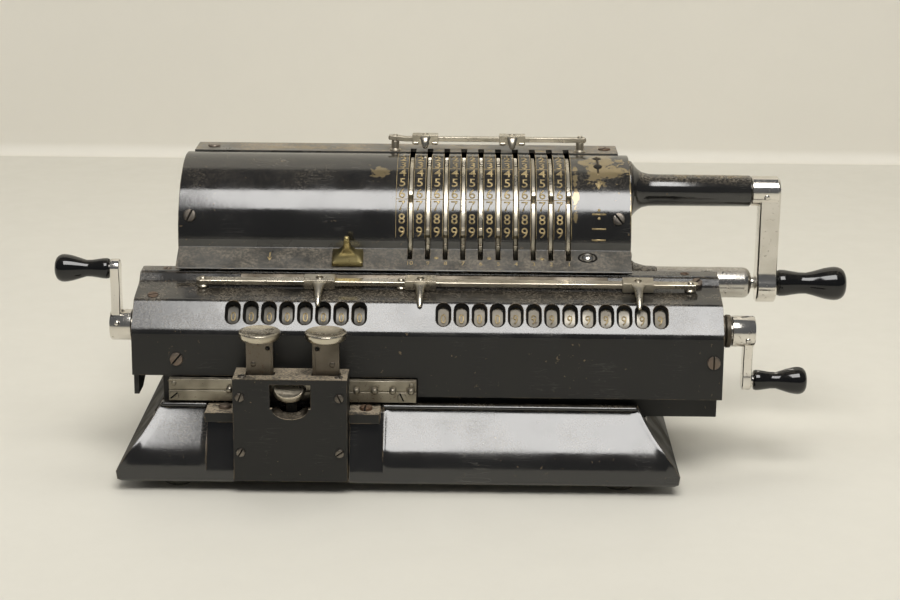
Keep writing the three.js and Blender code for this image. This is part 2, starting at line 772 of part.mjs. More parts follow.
const drum = place(new THREE.Group(), 0, 0, DRUM_Z);
drum.add(meshOf("drum_shaft", drumShaft(), STEEL));
const drumGear = meshOf("drum_gear", gear(DRUM_SHAFT_R), STEEL);
drumGear.rotation.x = degrees(180 / GEAR_TEETH); // a tooth space stands under the crank gear's tooth
drum.add(drumGear);
for (let i = 0; i < COLUMNS; i++) {
  const place2 = String(i + 1).padStart(2, "0");
  const disc = meshOf("pinwheel_disc_" + place2, pinwheelDisc(SET_DIGITS[i]), NICKEL);
  drum.add(place(disc, slotX(i), 0, 0));
  const lever = place(meshOf("setting_lever_" + place2, settingLever(), NICKEL), slotX(i), 0, 0);
  lever.rotation.x = -degrees(DIGIT_9_ANGLE + (9 - SET_DIGITS[i]) * DIGIT_STEP);
  drum.add(lever);
}

const crank = place(new THREE.Group(), 0, 0, crankZ);
crank.add(meshOf("crank_shaft", crankShaft(), STEEL));
crank.add(meshOf("crank_gear", gear(CRANK_SHAFT_R), STEEL));
crank.add(meshOf("crank_arm", crankArm(), CHROME));
const handle = place(new THREE.Group(), 0, 0, -CRANK_ARM_LENGTH);
handle.add(meshOf("crank_handle_spindle", crankHandleSpindle(), STEEL));
handle.add(place(meshOf("crank_knob", knob(31.2, 5.9, 7.4, 4.1), KNOB_BLACK), 165.2, 0, 0));
crank.add(handle);

const carriage = new THREE.Group();
carriage.add(meshOf("carriage_cover", carriageCover(), ENAMEL));
const leftPlate = carriageEndPlate(-110.6, -108.6, 36, 3.6 + GAP);
const rightPlate = carriageEndPlate(131.6, 133.6, 44, 3.6 + GAP);
carriage.add(meshOf("carriage_end_plate_left", leftPlate, SATIN_ENAMEL));
carriage.add(meshOf("carriage_end_plate_right", rightPlate, SATIN_ENAMEL));
carriage.add(meshOf("carriage_lower_rail", carriageLowerRail(), SATIN_ENAMEL));
carriage.add(meshOf("shift_rack", shiftRack(), NICKEL));
carriage.add(meshOf("carriage_guide_strip", carriageGuideStrip(), STEEL));
const carriageRail = new THREE.Group();
place(carriageRail, 0, CARRIAGE_RAIL.y, CARRIAGE_RAIL.z);
carriageRail.rotation.x = RAIL_TILT;
carriageRail.add(meshOf("carriage_pointer_rail", carriagePointerRail(), NICKEL));
for (const [i, x] of CARRIAGE_POINTERS.entries()) {
  const pointer = meshOf("carriage_pointer_" + (i + 1), railPointer(12, CARRIAGE_RAIL, CARRIAGE_FINGER), NICKEL);
  carriageRail.add(place(pointer, x, 0, 0));
}
carriage.add(carriageRail);

const registers = place(new THREE.Group(), 0, wheelCentre.x, wheelCentre.y);
const counter = registerWheels(COUNTER_FIRST_X, COUNTER_PLACES, -105.4, -10);
registers.add(meshOf("counter_wheels", counter, DIAL));
const results = registerWheels(RESULT_FIRST_X, RESULT_PLACES, 12, 128.4);
registers.add(meshOf("result_wheels", results, DIAL));
const clearLeft = meshOf("clearing_crank_left", clearingCrank(1, 9.4, 24.4, 5), CHROME);
clearLeft.rotation.z = Math.PI;
registers.add(place(clearLeft, CARRIAGE.left - GAP, 0, 0));
const clearRight = meshOf("clearing_crank_right", clearingCrank(4, 10, 21.5, 5), CHROME);
clearRight.rotation.x = Math.PI;
registers.add(place(clearRight, CARRIAGE.right + GAP, 0, 0));
const knobLeft = meshOf("clearing_knob_left", knob(23, 4.35, 5.85, 1.9), KNOB_BLACK);
knobLeft.rotation.z = Math.PI;
registers.add(place(knobLeft, CARRIAGE.left - 10.4 - GAP, 0, 24.4));
const knobRight = meshOf("clearing_knob_right", knob(22.8, 4.35, 5.85, 1.9), KNOB_BLACK);
registers.add(place(knobRight, CARRIAGE.right + 14.9, 0, -21.5));
carriage.add(registers);
const idler = idlerCentre();
carriage.add(place(meshOf("idler_gears", idlerGears(), STEEL), 0, idler.x, idler.y));

const trims = new THREE.Group();
for (const [i, x] of TOP_POINTERS.entries()) {
  const pointer = meshOf("top_pointer_" + (i + 1), railPointer(11.4, TOP_RAIL, TOP_FINGER), NICKEL);
  trims.add(place(pointer, x, TOP_RAIL.y, TOP_RAIL.z));
}
const marker = place(meshOf("brass_marker", brassMarker(), BRASS), -23.2, -39.4, 86.9);
marker.rotation.x = Math.atan2(APRON.kinkZ - APRON.frontZ, APRON.kinkY - APRON.frontY);
trims.add(marker);

const machine = new THREE.Group();
machine.add(frame, keys, drum, crank, carriage, trims);
const bounds = new THREE.Box3().setFromObject(machine);
const middle = bounds.getCenter(new THREE.Vector3());
machine.position.set(-middle.x, -middle.y, -bounds.min.z);

export default machine;
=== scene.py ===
"""The looks of a hand-cranked pinwheel adding machine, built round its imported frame."""

import json
import math

import bmesh
import bpy
from mathutils import Matrix, Vector


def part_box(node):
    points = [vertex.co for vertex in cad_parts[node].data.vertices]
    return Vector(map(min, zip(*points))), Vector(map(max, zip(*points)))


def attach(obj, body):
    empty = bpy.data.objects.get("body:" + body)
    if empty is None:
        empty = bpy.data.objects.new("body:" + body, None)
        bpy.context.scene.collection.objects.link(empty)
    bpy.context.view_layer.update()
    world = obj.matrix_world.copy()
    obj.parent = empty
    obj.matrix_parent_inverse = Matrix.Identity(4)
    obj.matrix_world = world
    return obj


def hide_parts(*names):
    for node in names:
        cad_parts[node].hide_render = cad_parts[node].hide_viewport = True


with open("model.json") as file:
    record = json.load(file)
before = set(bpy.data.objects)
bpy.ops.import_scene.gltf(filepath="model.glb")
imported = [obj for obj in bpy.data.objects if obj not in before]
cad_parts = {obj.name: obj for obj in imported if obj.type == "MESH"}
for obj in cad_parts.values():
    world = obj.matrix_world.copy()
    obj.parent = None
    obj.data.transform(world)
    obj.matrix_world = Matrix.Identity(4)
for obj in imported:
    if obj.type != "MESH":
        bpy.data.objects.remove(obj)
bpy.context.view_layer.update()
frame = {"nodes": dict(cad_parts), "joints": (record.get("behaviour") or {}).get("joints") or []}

bl_info = {
    "name": "Pinwheel adding machine",
    "version": (1, 0, 0),
    "blender": (4, 5, 0),
    "location": "3D View > Sidebar > Adding Machine",
    "description": "Builds a hand-cranked adding machine, its finishes and its studio",
    "category": "Add Mesh",
}

# ---- the machine's own axes ----
# Drawn in millimetres from the middle of the drum cover: +X to the crank, +Y to the back,
# the drum axis at Y = 0 and the table at Z = 0. The frame says where that is.
MM = 0.001
JOINTS = {joint["name"]: joint for joint in frame["joints"]}
COVER_LEFT, COVER_RIGHT = -96.0, 97.4


def joint_place(name):
    """Where a joint's axis is, in millimetres in the frame's axes."""
    return Vector(JOINTS[name]["pos_m"]) / MM


ZERO = Vector((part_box("setting_cover")[0].x / MM - COVER_LEFT, joint_place("drum_turn").y, 0))


def axis_of(name):
    """(y, z) of a joint's axis in the machine's own axes."""
    place = joint_place(name) - ZERO
    return place.y, place.z


DRUM_Y, DRUM_Z = axis_of("drum_turn")
CRANK_Y, CRANK_Z = axis_of("crank_turn")
GRIP_Y, GRIP_Z = axis_of("crank_grip_turn")
WHEEL_Y, WHEEL_Z = axis_of("turns_counter_turn")

# ---- sizes shared by several pieces ----
PITCH = 7.5
COLUMNS = 10
THIRD_SLOTS = (2, 5, 8)
FIRST_SLOT_X = 70.65
SLOT_HALF = 1.05
SLOT_FRONT_Y = -38.5
COVER_R = 33.0
DIGIT_STEP = 9.85
DIGIT_9_ANGLE = 11.0
SET_DIGITS = (6, 6, 6, 9, 9, 9, 9, 9, 9, 6)
KINK = (-33.0, 90.0)
APRON_FRONT = (-44.0, 83.6)
REAR_TOP_Z = 124.0
CARRIAGE_LEFT, CARRIAGE_RIGHT = -111.0, 134.0
CARRIAGE_LINE = ((-34.8, 81.6), (-43.4, 81.4), (-46.9, 78.0), (-61.5, 74.6), (-70.8, 63.5),
                 (-72.2, 36.6))
COUNTER_X = tuple(-16.9 - PITCH * i for i in range(8))
RESULT_X = tuple(108.0 - PITCH * i for i in range(13))
RESULT_DIGITS = "9999999990000"
WHEEL_R = 11.5
BOX_LEFT, BOX_RIGHT, BOX_FRONT, BOX_BACK, BOX_TOP = -67.0, -20.4, -92.0, -76.5, 50.0
KEY_X = (-56.4, -29.4)
KEY_Y = -84.0
RAIL_TILT = 13.1
PLATE_LEFT, PLATE_RIGHT, PLATE_R = (-96.4, -93.9), (93.9, 97.0), 31.1
TUBE_START = 97.3
CRANK_BORE, DRUM_BORE = 4.3, 6.3
ARM_START, ARM_END, GRIP_START = 155.8, 164.6, 165.2


def slot_x(column):
    return FIRST_SLOT_X - PITCH * column


def up_front(angle, radius, centre=(0.0, DRUM_Z)):
    """(y, z) at an angle in degrees up from the front of a round part."""
    turn = math.radians(angle)
    return centre[0] - radius * math.cos(turn), centre[1] + radius * math.sin(turn)


def spread(start, stop, count):
    """Evenly spaced numbers with both ends."""
    return [start + (stop - start) * i / (count - 1) for i in range(count)]


def around(count):
    """Evenly spaced angles all the way round."""
    return [math.tau * k / count for k in range(count)]


# ---- forms: points in millimetres and faces ----
class Form:
    """Points in the machine's axes, faces, and the finish number of each face."""

    def __init__(self):
        self.points, self.faces, self.finishes = [], [], []

    def point(self, x, y, z):
        self.points.append(Vector((x, y, z)))
        return len(self.points) - 1

    def face(self, corners, finish=0):
        self.faces.append(tuple(corners))
        self.finishes.append(finish)

    def add(self, *others, finish=None):
        for other in others:
            base = len(self.points)
            self.points += [p.copy() for p in other.points]
            for corners, own in zip(other.faces, other.finishes):
                self.face([base + c for c in corners], own if finish is None else finish)
        return self

    def moved(self, x=0.0, y=0.0, z=0.0):
        return self.shaped(Matrix.Translation((x, y, z)))

    def turned(self, angle, axis="X"):
        return self.shaped(Matrix.Rotation(math.radians(angle), 4, axis))

    def shaped(self, matrix):
        made = Form()
        made.points = [matrix @ p for p in self.points]
        made.faces, made.finishes = list(self.faces), list(self.finishes)
        return made


def joined(*forms):
    return Form().add(*forms)


def face_middle(form, corners):
    return sum((form.points[c] for c in corners), Vector()) / len(corners)


def bridge(form, one, two, closed=False, finish=0):
    """Quads between two rows of points; a row of one point becomes a fan."""
    count = max(len(one), len(two))
    for k in range(count if closed else count - 1):
        a, b = one[k % len(one)], one[(k + 1) % len(one)]
        c, d = two[(k + 1) % len(two)], two[k % len(two)]
        corners = [p for i, p in enumerate((a, b, c, d)) if p not in (a, b, c, d)[:i]]
        if len(corners) > 2:
            form.face(corners, finish)


def skinned(rows, closed_rows=True, capped=True, finish=0):
    """A skin over rows of (x, y, z) points."""
    form = Form()
    rings = [[form.point(*p) for p in row] for row in rows]
    for one, two in zip(rings, rings[1:]):
        bridge(form, one, two, closed_rows, finish)
    if capped:
        for ring in (rings[0], rings[-1]):
            if len(ring) > 2:
                form.face(ring, finish)
    return form


def lathe(profile, segments=48, centre=(0.0, 0.0)):
    """Turned about a line along X from (x, radius) pairs; a radius of 0 makes a point."""
    rows = [[(x, centre[0] + radius * math.cos(a), centre[1] + radius * math.sin(a))
             for a in (around(segments) if radius else [0.0])] for x, radius in profile]
    return skinned(rows, capped=False)


def upright_lathe(profile, centre=(0.0, 0.0, 0.0), segments=32):
    """Turned about a vertical line from (z, radius) pairs."""
    return lathe(profile, segments).turned(-90, "Y").moved(*centre)


def drawn(outline, start, stop):
    """A (y, z) outline drawn along X."""
    return skinned([[(x, y, z) for y, z in outline] for x in (start, stop)])


def drawn_deep(outline, front, back):
    """An (x, z) outline drawn along Y."""
    return skinned([[(x, y, z) for x, z in outline] for y in (front, back)])


def block(x0, x1, y0, y1, z0, z1):
    return drawn([(y0, z0), (y1, z0), (y1, z1), (y0, z1)], x0, x1)


def bore(x0, x1, radius, centre):
    """A round cutting tool along X."""
    return lathe([(x0, 0), (x0, radius), (x1, radius), (x1, 0)], 32, centre)


def softened(points, radius, steps=4, closed=True):
    """A line with its corners rounded; radius is one number or one for each corner."""
    made, count = [], len(points)
    for i, point in enumerate(points):
        r = radius[i] if hasattr(radius, "__len__") else radius
        if r <= 0 or (not closed and i in (0, count - 1)):
            made.append(tuple(point))
            continue
        here = Vector(point)
        back = Vector(points[i - 1]) - here
        on = Vector(points[(i + 1) % count]) - here
        reach = min(r, 0.48 * back.length, 0.48 * on.length)
        start, end = here + back.normalized() * reach, here + on.normalized() * reach
        for k in range(steps + 1):
            t = k / steps
            p = start * (1 - t) ** 2 + here * 2 * t * (1 - t) + end * t * t
            made.append(tuple(p))
    return made


def beside(line, distance):
    """An open (y, z) line moved sideways; a positive distance is to its left."""
    made = []
    for i, point in enumerate(line):
        here = Vector(point)
        before = here - Vector(line[max(i - 1, 0)])
        after = Vector(line[min(i + 1, len(line) - 1)]) - here
        before = (before if before.length > 1e-9 else after).normalized()
        after = (after if after.length > 1e-9 else before).normalized()
        side = Vector((-before.y - after.y, before.x + after.x)).normalized()
        share = max(side.dot(Vector((-before.y, before.x))), 0.5)
        made.append(tuple(here + side * (distance / share)))
    return made


def thick_sheet(stations, outer, inner, is_open):
    """A sheet along X with an outer and an inner (y, z) line, and cells left out."""
    form, known = Form(), {}
    lines = (outer, inner)
    last = (len(stations) - 1, len(outer) - 1)

    def corner(side, i, j):
        key = (side, i, j)
        if key not in known:
            known[key] = form.point(stations[i], *lines[side][j])
        return known[key]

    def solid(i, j):
        return 0 <= i < last[0] and 0 <= j < last[1] and not is_open(i, j)

    for i in range(last[0]):
        for j in range(last[1]):
            if not solid(i, j):
                continue
            for side in (0, 1):
                form.face([corner(side, *c) for c in ((i, j), (i + 1, j), (i + 1, j + 1),
                                                      (i, j + 1))])
            for step, ends in (((-1, 0), ((i, j), (i, j + 1))),
                               ((1, 0), ((i + 1, j), (i + 1, j + 1))),
                               ((0, -1), ((i, j), (i + 1, j))),
                               ((0, 1), ((i, j + 1), (i + 1, j + 1)))):
                if not solid(i + step[0], j + step[1]):
                    a, b = ends
                    form.face([corner(0, *a), corner(0, *b), corner(1, *b), corner(1, *a)])
    return form


def mesh_from(form, name):
    """A Blender mesh in metres, in place, with its normals facing out."""
    bm = bmesh.new()
    corners = [bm.verts.new((p + ZERO) * MM) for p in form.points]
    for face, finish in zip(form.faces, form.finishes):
        try:
            made = bm.faces.new([corners[c] for c in face])
        except ValueError:
            continue
        made.material_index = finish
        made.smooth = True
    bmesh.ops.remove_doubles(bm, verts=bm.verts, dist=1e-6)
    bmesh.ops.dissolve_degenerate(bm, edges=bm.edges, dist=1e-7)
    bmesh.ops.recalc_face_normals(bm, faces=bm.faces)
    mesh = bpy.data.meshes.new(name)
    bm.to_mesh(mesh)
    bm.free()
    return mesh


def form_from(mesh):
    form = Form()
    for vertex in mesh.vertices:
        form.point(*(vertex.co / MM - ZERO))
    for polygon in mesh.polygons:
        form.face(polygon.vertices, polygon.material_index)
    return form


def combined(form, tools, operation="DIFFERENCE"):
    """The form with the tools' volume taken away, or another boolean of the two."""
    pair = []
    for part in (form, joined(*tools)):
        obj = bpy.data.objects.new("work", mesh_from(part, "work"))
        bpy.context.scene.collection.objects.link(obj)
        pair.append(obj)
    change = pair[0].modifiers.new("cut", "BOOLEAN")
    change.operation, change.solver, change.object = operation, "EXACT", pair[1]
    change.use_self = True
    bpy.context.view_layer.update()
    shaped = pair[0].evaluated_get(bpy.context.evaluated_depsgraph_get())
    result = form_from(shaped.to_mesh())
    shaped.to_mesh_clear()
    if not result.faces:
        raise RuntimeError("a cut left nothing")
    for obj in pair:
        mesh = obj.data
        bpy.data.objects.remove(obj)
        bpy.data.meshes.remove(mesh)
    return result


# ---- pieces ----
def make_piece(name, form, body, finishes, replaces=(), edge=0.0, chamfer=0.0, sheet=0.0,
               sharp=None, steps=2):
    """An object from a form: it rides on its body and stands for the named frame parts."""
    obj = bpy.data.objects.new(name, mesh_from(form, name))
    bpy.context.scene.collection.objects.link(obj)
    for finish in finishes:
        obj.data.materials.append(finish_named(finish))
    if sharp:
        obj.data.set_sharp_from_angle(angle=math.radians(sharp))
    if sheet:
        thick = obj.modifiers.new("sheet", "SOLIDIFY")
        thick.thickness, thick.offset = sheet * MM, -1
    for width, segments in ((chamfer, 1), (edge, steps)):
        if width:
            soften_edges(obj, width, segments)
    if edge or chamfer:
        even_normals(obj)
    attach(obj, body)
    if replaces:
        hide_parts(*replaces)
    return obj


def soften_edges(obj, width, segments, angle=32):
    change = obj.modifiers.new("edges", "BEVEL")
    change.width, change.segments = width * MM, segments
    change.limit_method, change.angle_limit = "ANGLE", math.radians(angle)
    change.use_clamp_overlap = True
    change.miter_outer = "MITER_ARC" if segments > 1 else "MITER_SHARP"


def even_normals(obj):
    obj.modifiers.new("even_normals", "WEIGHTED_NORMAL").keep_sharp = True


def standing(form, origin, direction, spin=0.0):
    """A form drawn round the Z axis, stood on a point along a direction."""
    turn = Vector(direction).to_track_quat("Z", "Y").to_matrix().to_4x4()
    own = Matrix.Rotation(math.radians(spin), 4, "Z")
    return form.shaped(Matrix.Translation(origin) @ turn @ own)


def screw(origin, direction, radius, height, spin, slot_width=0.8):
    """A slotted screw head: two half domes over a slot floor in the second finish, which paints the
    slot floor dark as painted shade.
    """
    form = Form()
    rings = [(-0.6, 1.0), (height * 0.5, 1.0), (height * 0.9, 0.93), (height, 0.8),
             (height * 1.06, 0.45)]
    for side in (0, 1):
        rows = []
        for z, share in rings:
            r = radius * share
            first = math.asin(min(slot_width / 2 / r, 0.99))
            angles = spread(first, math.pi - first, 15)
            rows.append([(r * math.cos(a + math.pi * side), r * math.sin(a + math.pi * side), z)
                         for a in angles])
        form.add(skinned(rows))
    inside = radius * 0.97
    floor = [[(inside * math.cos(a), inside * math.sin(a), z) for a in around(24)]
             for z in (-0.6, height * 0.35)]
    form.add(skinned(floor, finish=1))
    return standing(form, origin, direction, spin)


def screws(head, *places):
    """Screws of one head, (radius, height) or with a slot width, at (origin, direction, spin)."""
    return joined(*[screw(origin, direction, *head[:2], spin, *head[2:])
                    for origin, direction, spin in places])


def dome(origin, direction, radius, height, segments=24):
    """A round button or ball head."""
    rings = [(radius, -0.5)]
    for lift in spread(0, math.pi / 2, 7)[:-1]:
        rings.append((radius * math.cos(lift), height * math.sin(lift)))
    rows = [[(r * math.cos(a), r * math.sin(a), z) for a in around(segments)] for r, z in rings]
    return standing(skinned(rows + [[(0, 0, height)]]), origin, direction)


# ---- painted marks ----
GLYPHS = {}


def glyph(text, height):
    """A flat text outline with faces, centred, as (points, faces, rim edges)."""
    if text not in GLYPHS:
        curve = bpy.data.curves.new("glyph", "FONT")
        curve.body, curve.size, curve.resolution_u, curve.offset = text, 1.0, 3, 0.006
        obj = bpy.data.objects.new("glyph", curve)
        bpy.context.scene.collection.objects.link(obj)
        bpy.context.view_layer.update()
        shaped = obj.evaluated_get(bpy.context.evaluated_depsgraph_get())
        mesh = shaped.to_mesh()
        points = [v.co.xy.copy() for v in mesh.vertices]
        faces = [tuple(p.vertices) for p in mesh.polygons]
        shaped.to_mesh_clear()
        bpy.data.objects.remove(obj)
        bpy.data.curves.remove(curve)
        GLYPHS[text] = flat_mark(points, faces)
    points, faces, rim = GLYPHS[text]
    lows = [min(p[k] for p in points) for k in (0, 1)]
    highs = [max(p[k] for p in points) for k in (0, 1)]
    scale = height / (highs[1] - lows[1])
    middle = [(a + b) / 2 for a, b in zip(lows, highs)]
    placed = [((p[0] - middle[0]) * scale, (p[1] - middle[1]) * scale) for p in points]
    return placed, faces, rim


def flat_mark(points, faces):
    """Points, faces and the edges that only one face uses."""
    used = {}
    for face in faces:
        for a, b in zip(face, face[1:] + face[:1]):
            used.setdefault(frozenset((a, b)), []).append((a, b))
    rim = [pairs[0] for pairs in used.values() if len(pairs) == 1]
    return points, faces, rim


def strip_mark(line, width):
    """A flat mark that follows a line of (u, v) points."""
    points, faces = [], []
    sides = beside(line, width / 2), beside(line, -width / 2)
    for a, b in zip(*sides):
        points += [a, b]
    for i in range(len(line) - 1):
        faces.append((2 * i, 2 * i + 1, 2 * i + 3, 2 * i + 2))
    return flat_mark(points, faces)


def bar_mark(length, width):
    return strip_mark([(-length / 2, 0), (length / 2, 0)], width)


def round_mark(radius, squash=1.0, count=14):
    points = [(radius * math.cos(a), squash * radius * math.sin(a)) for a in around(count)]
    return flat_mark(points, [tuple(range(count))])


def arrow_mark(length, width, shaft):
    """A plain arrow that points down, its middle at zero."""
    half, head = length / 2, width * 1.1
    points = [(-shaft / 2, half), (-shaft / 2, head - half), (-width / 2, head - half),
              (0.0, -half), (width / 2, head - half), (shaft / 2, head - half), (shaft / 2, half)]
    return flat_mark(points, [(0, 1, 5, 6), (2, 3, 1), (1, 3, 5), (5, 3, 4)])


def painted(mark, place, lift=0.05, finish=0):
    """A mark as a thin solid film; place turns (u, v, height) into a point."""
    points, faces, rim = mark
    form = Form()
    top = [form.point(*place(u, v, lift)) for u, v in points]
    low = [form.point(*place(u, v, -0.08)) for u, v in points]
    for face in faces:
        form.face([top[k] for k in face], finish)
        form.face([low[k] for k in reversed(face)], finish)
    for a, b in rim:
        form.face((top[a], low[a], low[b], top[b]), finish)
    return form


def on_round(x, angle, radius, centre):
    """A place function on a cylinder along X, at an angle up from the front."""
    def place(u, v, lift):
        y, z = up_front(angle + math.degrees(v / radius), radius + lift, centre)
        return x + u, y, z
    return place


def on_flat(x, start, end, along):
    """A place function on a plane from (y, z) start down to end, some way along it."""
    start, end = Vector(start), Vector(end)
    down = (end - start).normalized()
    out = Vector((down.y, -down.x))
    if out.y < 0:
        out = -out

    def place(u, v, lift):
        p = start + down * (along - v) + out * lift
        return x + u, p.x, p.y
    return place


# ---- shader node helpers ----
def shader_node(tree, kind, inputs=None, **settings):
    """A node with its settings; an input is a number, a colour or another node's socket."""
    made = tree.nodes.new(kind)
    for name, value in settings.items():
        setattr(made, name, value)
    for name, value in (inputs or {}).items():
        if isinstance(value, bpy.types.NodeSocket):
            tree.links.new(value, made.inputs[name])
        else:
            made.inputs[name].default_value = value
    return made


def maths(tree, operation, a, b=0.0, clamp=False):
    made = shader_node(tree, "ShaderNodeMath", {0: a, 1: b}, operation=operation)
    made.use_clamp = clamp
    return made.outputs[0]


def ramp(tree, value, low, high, to_low=0.0, to_high=1.0):
    """A smooth step of a value from low to high."""
    made = shader_node(tree, "ShaderNodeMapRange", {"Value": value, "From Min": low,
                       "From Max": high, "To Min": to_low, "To Max": to_high},
                       interpolation_type="SMOOTHSTEP")
    return made.outputs["Result"]


def blended(tree, share, first, second):
    """A colour between two colours."""
    made = shader_node(tree, "ShaderNodeMix", {0: share, 6: first, 7: second}, data_type="RGBA")
    return made.outputs[2]


def noise_value(tree, place, scale, detail=3.0, roughness=0.55, distortion=0.0):
    made = shader_node(tree, "ShaderNodeTexNoise", {"Vector": place, "Scale": scale,
                       "Detail": detail, "Roughness": roughness, "Distortion": distortion})
    return made.outputs["Fac"]


def own_place(tree):
    return shader_node(tree, "ShaderNodeTexCoord").outputs["Object"]


def shader_group(name, inputs, outputs, fill):
    """A shader node group, built once; inputs are (label, default) and outputs are labels."""
    if name in bpy.data.node_groups:
        return bpy.data.node_groups[name]
    tree = bpy.data.node_groups.new(name, "ShaderNodeTree")
    for label, default in inputs:
        kind = "NodeSocketVector" if hasattr(default, "__len__") else "NodeSocketFloat"
        tree.interface.new_socket(label, in_out="INPUT", socket_type=kind).default_value = default
    for label in outputs:
        tree.interface.new_socket(label, in_out="OUTPUT", socket_type="NodeSocketFloat")
    given = tree.nodes.new("NodeGroupInput").outputs
    made = tree.nodes.new("NodeGroupOutput").inputs
    for label, value in fill(tree, given).items():
        tree.links.new(value, made[label])
    return tree


def dust_group():
    """Dust that settles on faces that look up, in patches."""
    def fill(tree, given):
        place = own_place(tree)
        normal = shader_node(tree, "ShaderNodeNewGeometry").outputs["Normal"]
        up = shader_node(tree, "ShaderNodeSeparateXYZ", {"Vector": normal}).outputs["Z"]
        level = ramp(tree, up, 0.35, 0.98)
        patches = ramp(tree, noise_value(tree, place, given["Patch scale"], 4.0, 0.62), 0.3, 0.66)
        specks = ramp(tree, noise_value(tree, place, 900.0, 2.0, 0.7), 0.38, 0.66, 0.15, 1.0)
        both = maths(tree, "MULTIPLY", maths(tree, "MULTIPLY", level, patches), specks)
        return {"Mask": maths(tree, "MULTIPLY", both, given["Amount"], True)}
    return shader_group("Settled dust", [("Amount", 0.5), ("Patch scale", 45.0)], ["Mask"], fill)


def edge_group():
    """Paint or plate rubbed through along edges."""
    def fill(tree, given):
        place = own_place(tree)
        rounded = shader_node(tree, "ShaderNodeBevel", {"Radius": given["Radius"]}, samples=4)
        normal = shader_node(tree, "ShaderNodeNewGeometry").outputs["Normal"]
        meet = shader_node(tree, "ShaderNodeVectorMath", {0: rounded.outputs[0], 1: normal},
                           operation="DOT_PRODUCT").outputs["Value"]
        edge = ramp(tree, maths(tree, "SUBTRACT", 1.0, meet), 0.03, 0.2)
        breaks = noise_value(tree, place, given["Breakup"], 5.0, 0.65)
        gate = ramp(tree, breaks, 0.42, 0.6)
        worn = maths(tree, "MULTIPLY", edge, gate)
        return {"Mask": maths(tree, "MULTIPLY", worn, given["Amount"], True)}
    return shader_group("Rubbed edges", [("Amount", 0.6), ("Radius", 0.0006), ("Breakup", 160.0)],
                        ["Mask"], fill)


def chip_group():
    """Small chips and specks, thicker in some places than in others."""
    def fill(tree, given):
        place = own_place(tree)
        fine = noise_value(tree, place, given["Scale"], 4.0, 0.7, 0.4)
        places = ramp(tree, noise_value(tree, place, 38.0, 2.0), 0.4, 0.7, 0.0, 0.07)
        level = maths(tree, "SUBTRACT", given["Threshold"], places)
        chips = maths(tree, "GREATER_THAN", fine, level)
        return {"Mask": maths(tree, "MULTIPLY", chips, given["Amount"], True)}
    return shader_group("Chips", [("Amount", 0.7), ("Scale", 420.0), ("Threshold", 0.72)],
                        ["Mask"], fill)


def scratch_group():
    """Fine scratches in two directions."""
    def fill(tree, given):
        place = own_place(tree)
        masks = []
        for turn, stretch in ((0.5, (1.0, 14.0, 9.0)), (-0.9, (1.2, 9.0, 15.0))):
            lines = shader_node(tree, "ShaderNodeMapping", {"Vector": place,
                                "Rotation": (turn, 0.35 * turn, turn), "Scale": stretch})
            value = noise_value(tree, lines.outputs[0], given["Scale"], 2.0, 0.5, 0.25)
            middle = maths(tree, "ABSOLUTE", maths(tree, "SUBTRACT", value, 0.5))
            masks.append(ramp(tree, middle, 0.0, 0.012, 1.0, 0.0))
        gate = ramp(tree, noise_value(tree, place, 60.0, 2.0), 0.5, 0.68)
        either = maths(tree, "MAXIMUM", *masks)
        both = maths(tree, "MULTIPLY", either, gate)
        return {"Mask": maths(tree, "MULTIPLY", both, given["Amount"], True)}
    return shader_group("Scratches", [("Amount", 0.5), ("Scale", 40.0)], ["Mask"], fill)


def grain_group():
    """Uneven brushed or cast skin, as a height, and slow cloudiness."""
    def fill(tree, given):
        place = own_place(tree)
        fine = noise_value(tree, place, given["Scale"], 4.0, 0.6)
        broad = noise_value(tree, place, 60.0, 3.0, 0.5)
        height = maths(tree, "ADD", maths(tree, "MULTIPLY", fine, 0.4),
                       maths(tree, "MULTIPLY", broad, 0.6))
        return {"Height": height, "Clouds": ramp(tree, broad, 0.3, 0.7), "Fine": fine}
    return shader_group("Uneven skin", [("Scale", 700.0)], ["Height", "Clouds", "Fine"], fill)


def patch_group():
    """A worn patch about a place, with a ragged rim; size is the patch's half sizes."""
    def fill(tree, given):
        place = own_place(tree)
        away = shader_node(tree, "ShaderNodeVectorMath", {0: place, 1: given["Centre"]},
                           operation="SUBTRACT").outputs[0]
        share = shader_node(tree, "ShaderNodeVectorMath", {0: away, 1: given["Size"]},
                            operation="DIVIDE").outputs[0]
        far = shader_node(tree, "ShaderNodeVectorMath", {0: share}, operation="LENGTH")
        ragged = noise_value(tree, place, given["Breakup"], 5.0, 0.68, 0.3)
        shift = maths(tree, "MULTIPLY", maths(tree, "SUBTRACT", ragged, 0.5), 4.2)
        rim = maths(tree, "ADD", far.outputs["Value"], shift)
        return {"Mask": ramp(tree, rim, 0.55, 0.75, 1.0, 0.0)}
    return shader_group("Worn patch", [("Centre", (0.0, 0.0, 0.0)), ("Size", (0.01, 0.01, 0.01)),
                        ("Breakup", 120.0)], ["Mask"], fill)


def placed_group(tree, group, label="Mask", **inputs):
    made = shader_node(tree, "ShaderNodeGroup", node_tree=group)
    for name, value in inputs.items():
        made.inputs[name.replace("_", " ").capitalize()].default_value = value
    return made.outputs[label]


def finish_tree(name):
    """A new material, its node tree and its shader."""
    material = bpy.data.materials.new(name)
    material.use_nodes = True
    return material, material.node_tree, material.node_tree.nodes["Principled BSDF"]


def with_bump(tree, shader, height, strength, distance):
    bump = shader_node(tree, "ShaderNodeBump", {"Height": height, "Strength": strength,
                                                "Distance": distance})
    tree.links.new(bump.outputs[0], shader.inputs["Normal"])


def feed(tree, shader, **sockets):
    for name, value in sockets.items():
        tree.links.new(value, shader.inputs[name.replace("_", " ")])


def rgba(colour):
    return (*colour[:3], 1.0)


